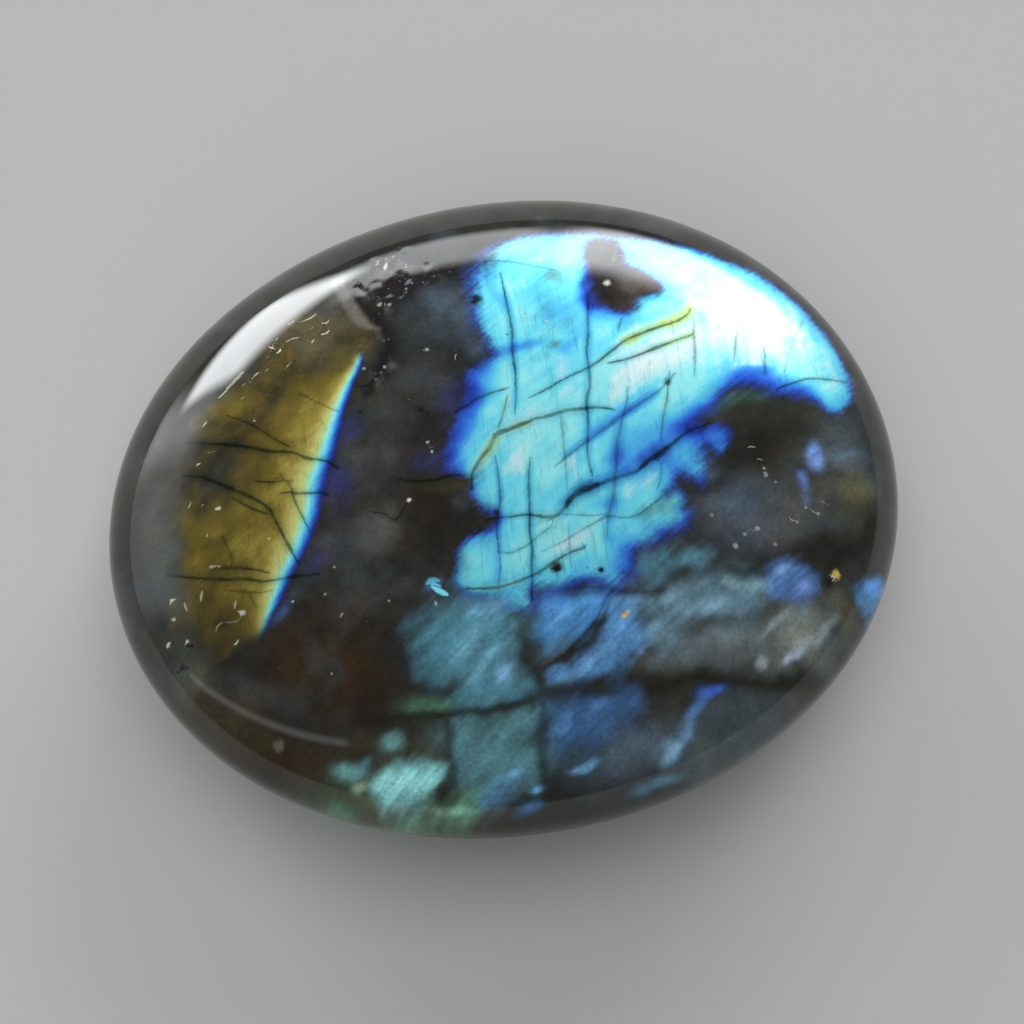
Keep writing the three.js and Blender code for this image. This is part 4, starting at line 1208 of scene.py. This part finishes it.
def tone_ramp(wires, value):
    """The colours above, as a ramp."""
    ramp = wires.add("ShaderNodeValToRGB", {0: value})
    elements = ramp.color_ramp.elements
    elements[0].color = (*FLASH_TONES[0][1], 1)
    elements[-1].color = (*FLASH_TONES[-1][1], 1)
    for position, colour in FLASH_TONES[1:-1]:
        elements.new(position).color = (*colour, 1)
    return ramp.outputs[0]


# %% Material: what the mesh keeps, and the noises
material = bpy.data.materials.new("labradorite")
material.use_nodes = True
material.node_tree.nodes.clear()
wires = Wiring(material.node_tree)
times, plus, blend, between = wires.times, wires.plus, wires.blend, wires.between


def use(group, **values):
    """Places a node group in the material and returns its outputs."""
    node = wires.add("ShaderNodeGroup", node_tree=group)
    for name, value in values.items():
        wires.feed(node.inputs[name.replace("_", " ")], value)
    return node.outputs


plan_vector = wires.stored("plan")[3]
edge_level, tone_value, glow_value, _ = wires.stored("flash")
dull_value, crumbly_value, _, _ = wires.stored("haze")
body_vector = wires.stored("body_tint")[3]
coarse = use(mottling, Size=1.3, Detail=4.0)[0]
fine = use(mottling, Size=0.3, Detail=3.0)[0]
upright, upright_hairs = use(streaks, Heading=84.0, Length=14.0, Width=0.8, Seed=1.0)
slanting, slanting_hairs = use(streaks, Heading=31.0, Length=3.0, Width=0.26, Seed=4.0)

# %% Material: body
body_noise = plus(times(coarse, 0.7), plus(times(fine, 0.9), times(times(slanting, dull_value), 0.8)))
body_colour = wires.lit(body_vector, body_noise)
# Painted glints: small pale flecks scattered over the body.
body_glints = use(glint_flecks, Spacing=0.8, Radius=0.07, Share=0.25)[0]
glinting_body = blend(times(body_glints, 0.4), body_colour, (*tint(140, 138, 128), 1))

# %% Material: flash
tone_noise = plus(times(coarse, 0.05), plus(times(slanting, 0.04), times(fine, 0.05)))
glow_noise = plus(times(slanting, 0.35), plus(times(upright, 0.55), times(fine, 0.35)))
tone_now = plus(tone_value, tone_noise)
glow_now = plus(glow_value, times(glow_noise, glow_value))
is_cyan = times(between(tone_now, 0.36, 0.48), between(tone_now, 0.60, 0.74, 1.0, 0.0))
# Painted highlight: where the cyan glows most, its colour is painted white as glare.
painted_glare_share = times(between(glow_now, 1.05, 1.95), is_cyan)
flash_colour = blend(painted_glare_share, tone_ramp(wires, tone_now), PAINTED_GLARE_WHITE)
edge_noise = plus(times(coarse, 2.4), plus(times(slanting, 1.8), times(fine, 1.0)))
cut = between(plus(edge_level, edge_noise), -1.2, 1.2)
flash_amount = times(cut, between(glow_now, 0.0, 1.0), True)
flashed = blend(flash_amount, glinting_body, flash_colour)

# %% [markdown]
# A crack takes light away, so it multiplies the colour under it by a dark tint, and a wider and
# weaker shade beside it gives it depth. Hairlines, too many to place by hand, come from the streaks
# group: they are drawn where a stretched noise crosses zero.

# %% Material: cracks
CRACK_SHADOW = (0.12, 0.16, 0.15, 1)  # what is left of the colour in a crack
# Painted shade beside each crack, to give it depth.
SHADE_BESIDE_CRACK = (0.30, 0.42, 0.50, 1)
HAIR_SHADOW = (0.25, 0.42, 0.52, 1)


def shadowed(share, under, shadow):
    """Multiplies a colour by a shadow, in part."""
    return blend(share, under, blend(1.0, under, shadow, "MULTIPLY"))


def ink_lines(under, name, wobble, pale_colour):
    """Draws one set of lines over a colour: dark where the ink is above 0 and pale where it is below."""
    far, half, ink, _ = wires.stored(name + "_facts")
    place = wires.stored(name + "_at")[3]
    mask, shade = use(drawn, Place=plan_vector, Nearest=place, Far=far, Half_width=half, Wobble=wobble)
    darkness = times(ink, plus(1.0, times(coarse, 1.4)), True)
    shaded = shadowed(times(times(shade, darkness), 0.5), under, SHADE_BESIDE_CRACK)
    dark = blend(times(mask, darkness), shaded, blend(1.0, under, CRACK_SHADOW, "MULTIPLY"))
    paleness = times(mask, wires.math("MULTIPLY", ink, -1.0, True))
    return blend(paleness, dark, (*pale_colour, 1)), times(mask, darkness)


hair_share = times(flash_amount, between(coarse, -0.12, 0.14, 0.08, 0.4))
hairs = wires.math("MAXIMUM", upright_hairs, times(slanting_hairs, 0.5))
haired = shadowed(times(hair_share, hairs), flashed, HAIR_SHADOW)
# Painted sparkles: pale mineral grains in the crumbly veins, painted bright.
CRUMB_SPARKLE = (*tint(150, 158, 150), 1)
crumb_sparkles = times(use(glint_flecks, Spacing=0.42, Radius=0.15, Share=0.5)[0], between(crumbly_value, 0.0, 1.2))
crumbled = blend(crumb_sparkles, haired, CRUMB_SPARKLE)
lined, across_mask = ink_lines(crumbled, "across", 0.2, tint(120, 222, 246))
# The pale needles in the along set are painted glints.
lined_twice, along_mask = ink_lines(lined, "along", 0.16, tint(226, 224, 196))

# %% [markdown]
# The grains come last, over everything else. Then the surface is set. The coat is smooth everywhere,
# and only the crumbly veins get a fine bump under it. Cracks and dark grains aren't metallic, since
# no light comes back from them.

# %% Material: grains, flakes and the surface
grain_far_value, grain_radius, grain_ink, _ = wires.stored("grain_facts")
grain_mask = use(drawn, Place=plan_vector, Nearest=wires.stored("grain_at")[3], Far=grain_far_value,
                 Half_width=grain_radius, Wobble=times(grain_radius, 1.3))[0]
dark_grain = times(grain_mask, wires.math("MULTIPLY", grain_ink, -1.0, True))
# Painted glints: bright flakes are painted white, and golden ones gold.
glinting_grain = times(grain_mask, wires.math("MULTIPLY", grain_ink, 1.0, True))
is_gold = wires.math("GREATER_THAN", grain_ink, 1.5)
with_dark = blend(dark_grain, lined_twice, (*tint(20, 18, 20), 1))
grain_glint_colour = blend(is_gold, (*tint(206, 208, 198), 1), (*tint(206, 178, 92), 1))
base_colour = blend(glinting_grain, with_dark, grain_glint_colour)

all_lines = wires.math("MAXIMUM", across_mask, along_mask)
unbroken = wires.math("SUBTRACT", 1.0, wires.math("MAXIMUM", all_lines, dark_grain))
metallic = times(times(flash_amount, unbroken), 0.45)
crumb_height = times(between(crumbly_value, -0.5, 1.0), use(mottling, Size=0.22, Detail=4.0)[0])
bump = wires.add("ShaderNodeBump", {"Height": crumb_height, "Strength": 0.4, "Distance": 0.06 * MM})
surface = wires.add("ShaderNodeBsdfPrincipled", {
    "Base Color": base_colour,
    "Metallic": metallic,
    "Roughness": 0.42,
    "Normal": bump.outputs[0],
    "Specular IOR Level": 0.0,
    "Coat Weight": 1.0,
    "Coat Roughness": 0.03,
    "Coat IOR": 1.54,
})
wires.add("ShaderNodeOutputMaterial", {"Surface": surface.outputs[0]})
mesh.materials.append(material)
print("the material has", len(material.node_tree.nodes), "nodes")

# %% [markdown]
# ## Floor and light
# A polished stone shows mostly what it mirrors, so the light is placed by where it should appear in
# the stone: a broad low window behind it, brighter on both sides than in the middle. The windows are
# soft-edged patches on the sky, given by their heading and height as the stone sees them. Two panels
# that glossy surfaces don't see fill the shadows.

# %% Floor
FLOOR_HALF = 1.5  # metres
floor_mesh = bpy.data.meshes.new("floor")
FLOOR_HEIGHT = -0.02 * MM  # a hair below the stone
corner_signs = [(-1, -1), (1, -1), (1, 1), (-1, 1)]
floor_corners = [(x * FLOOR_HALF, y * FLOOR_HALF, FLOOR_HEIGHT) for x, y in corner_signs]
floor_mesh.from_pydata(floor_corners, [], [(0, 1, 2, 3)])
floor = bpy.data.objects.new("floor", floor_mesh)
bpy.context.collection.objects.link(floor)
paper = bpy.data.materials.new("pale_paper")
paper.use_nodes = True
paper_shader = paper.node_tree.nodes["Principled BSDF"]
paper_shader.inputs["Base Color"].default_value = (*tint(186, 186, 184), 1)
paper_shader.inputs["Roughness"].default_value = 0.9
paper_shader.inputs["Specular IOR Level"].default_value = 0.2
floor_mesh.materials.append(paper)

# %% Windows in the sky
SKY_GREY = 0.14
# Heading from +Y towards +X, elevation, width, height, tilt, softness, all in degrees, and brightness
WINDOWS = [
    (-20, 12.5, 23, 16, -35, 3.0, 12.0), (-38, 14, 14, 28, -10, 6.0, 2.4), (-58, 14, 44, 38, 0, 7.0, 0.9),
    (2, 16, 24, 17, 0, 3.0, 4.0), (17, 20, 8, 18, 0, 4.0, 4.0), (36, 19, 34, 24, 0, 4.0, 8.0),
    (-116, 28, 46, 4, -36, 2.0, 1.0),
]
world = bpy.data.worlds.new("studio")
world.use_nodes = True
sky = Wiring(world.node_tree)
look = sky.add("ShaderNodeTexCoord").outputs["Generated"]
height_angle = sky.times(sky.math("ARCSINE", sky.parts(look)[2]), 180 / pi)
brightness = SKY_GREY
for heading, elevation, wide, high, tilt, soft, power in WINDOWS:
    east, north, _ = sky.parts(sky.turned(look, radians(heading)))
    sideways = sky.times(sky.math("ARCTAN2", east, north), 180 / pi)
    upwards = sky.plus(height_angle, -elevation)
    lengthways = sky.plus(sky.times(sideways, cos(radians(tilt))), sky.times(upwards, sin(radians(tilt))))
    crossways = sky.plus(sky.times(upwards, cos(radians(tilt))), sky.times(sideways, -sin(radians(tilt))))
    in_width = sky.between(sky.math("ABSOLUTE", lengthways), wide / 2 - soft, wide / 2 + soft, 1.0, 0.0)
    in_height = sky.between(sky.math("ABSOLUTE", crossways), high / 2 - soft, high / 2 + soft, 1.0, 0.0)
    brightness = sky.plus(brightness, sky.times(sky.times(in_width, in_height), power))
background = world.node_tree.nodes["Background"]
background.inputs["Color"].default_value = (0.95, 0.98, 1.0, 1)
sky.feed(background.inputs["Strength"], brightness)
bpy.context.scene.world = world
print(len(WINDOWS), "windows")

# %% Fill panels
PANELS = [  # name, heading and elevation in degrees, size in metres, brightness
    ("fill_front", 200, 50, 0.5, 1.6),
    ("fill_above", 20, 80, 0.6, 1.6),
]
PANEL_DISTANCE = 0.7  # metres
for name, heading, elevation, size, brightness in PANELS:
    light = bpy.data.lights.new(name, "AREA")
    light.size = size
    light.energy = brightness * pi * size**2
    panel = bpy.data.objects.new(name, light)
    towards = Vector((
        sin(radians(heading)) * cos(radians(elevation)),
        cos(radians(heading)) * cos(radians(elevation)),
        sin(radians(elevation)),
    ))
    panel.location = towards * PANEL_DISTANCE
    panel.rotation_euler = towards.to_track_quat("Z", "Y").to_euler()
    panel.visible_glossy = False
    bpy.context.collection.objects.link(panel)
bpy.context.scene.view_settings.view_transform = "Standard"
print(len(PANELS), "fill panels")
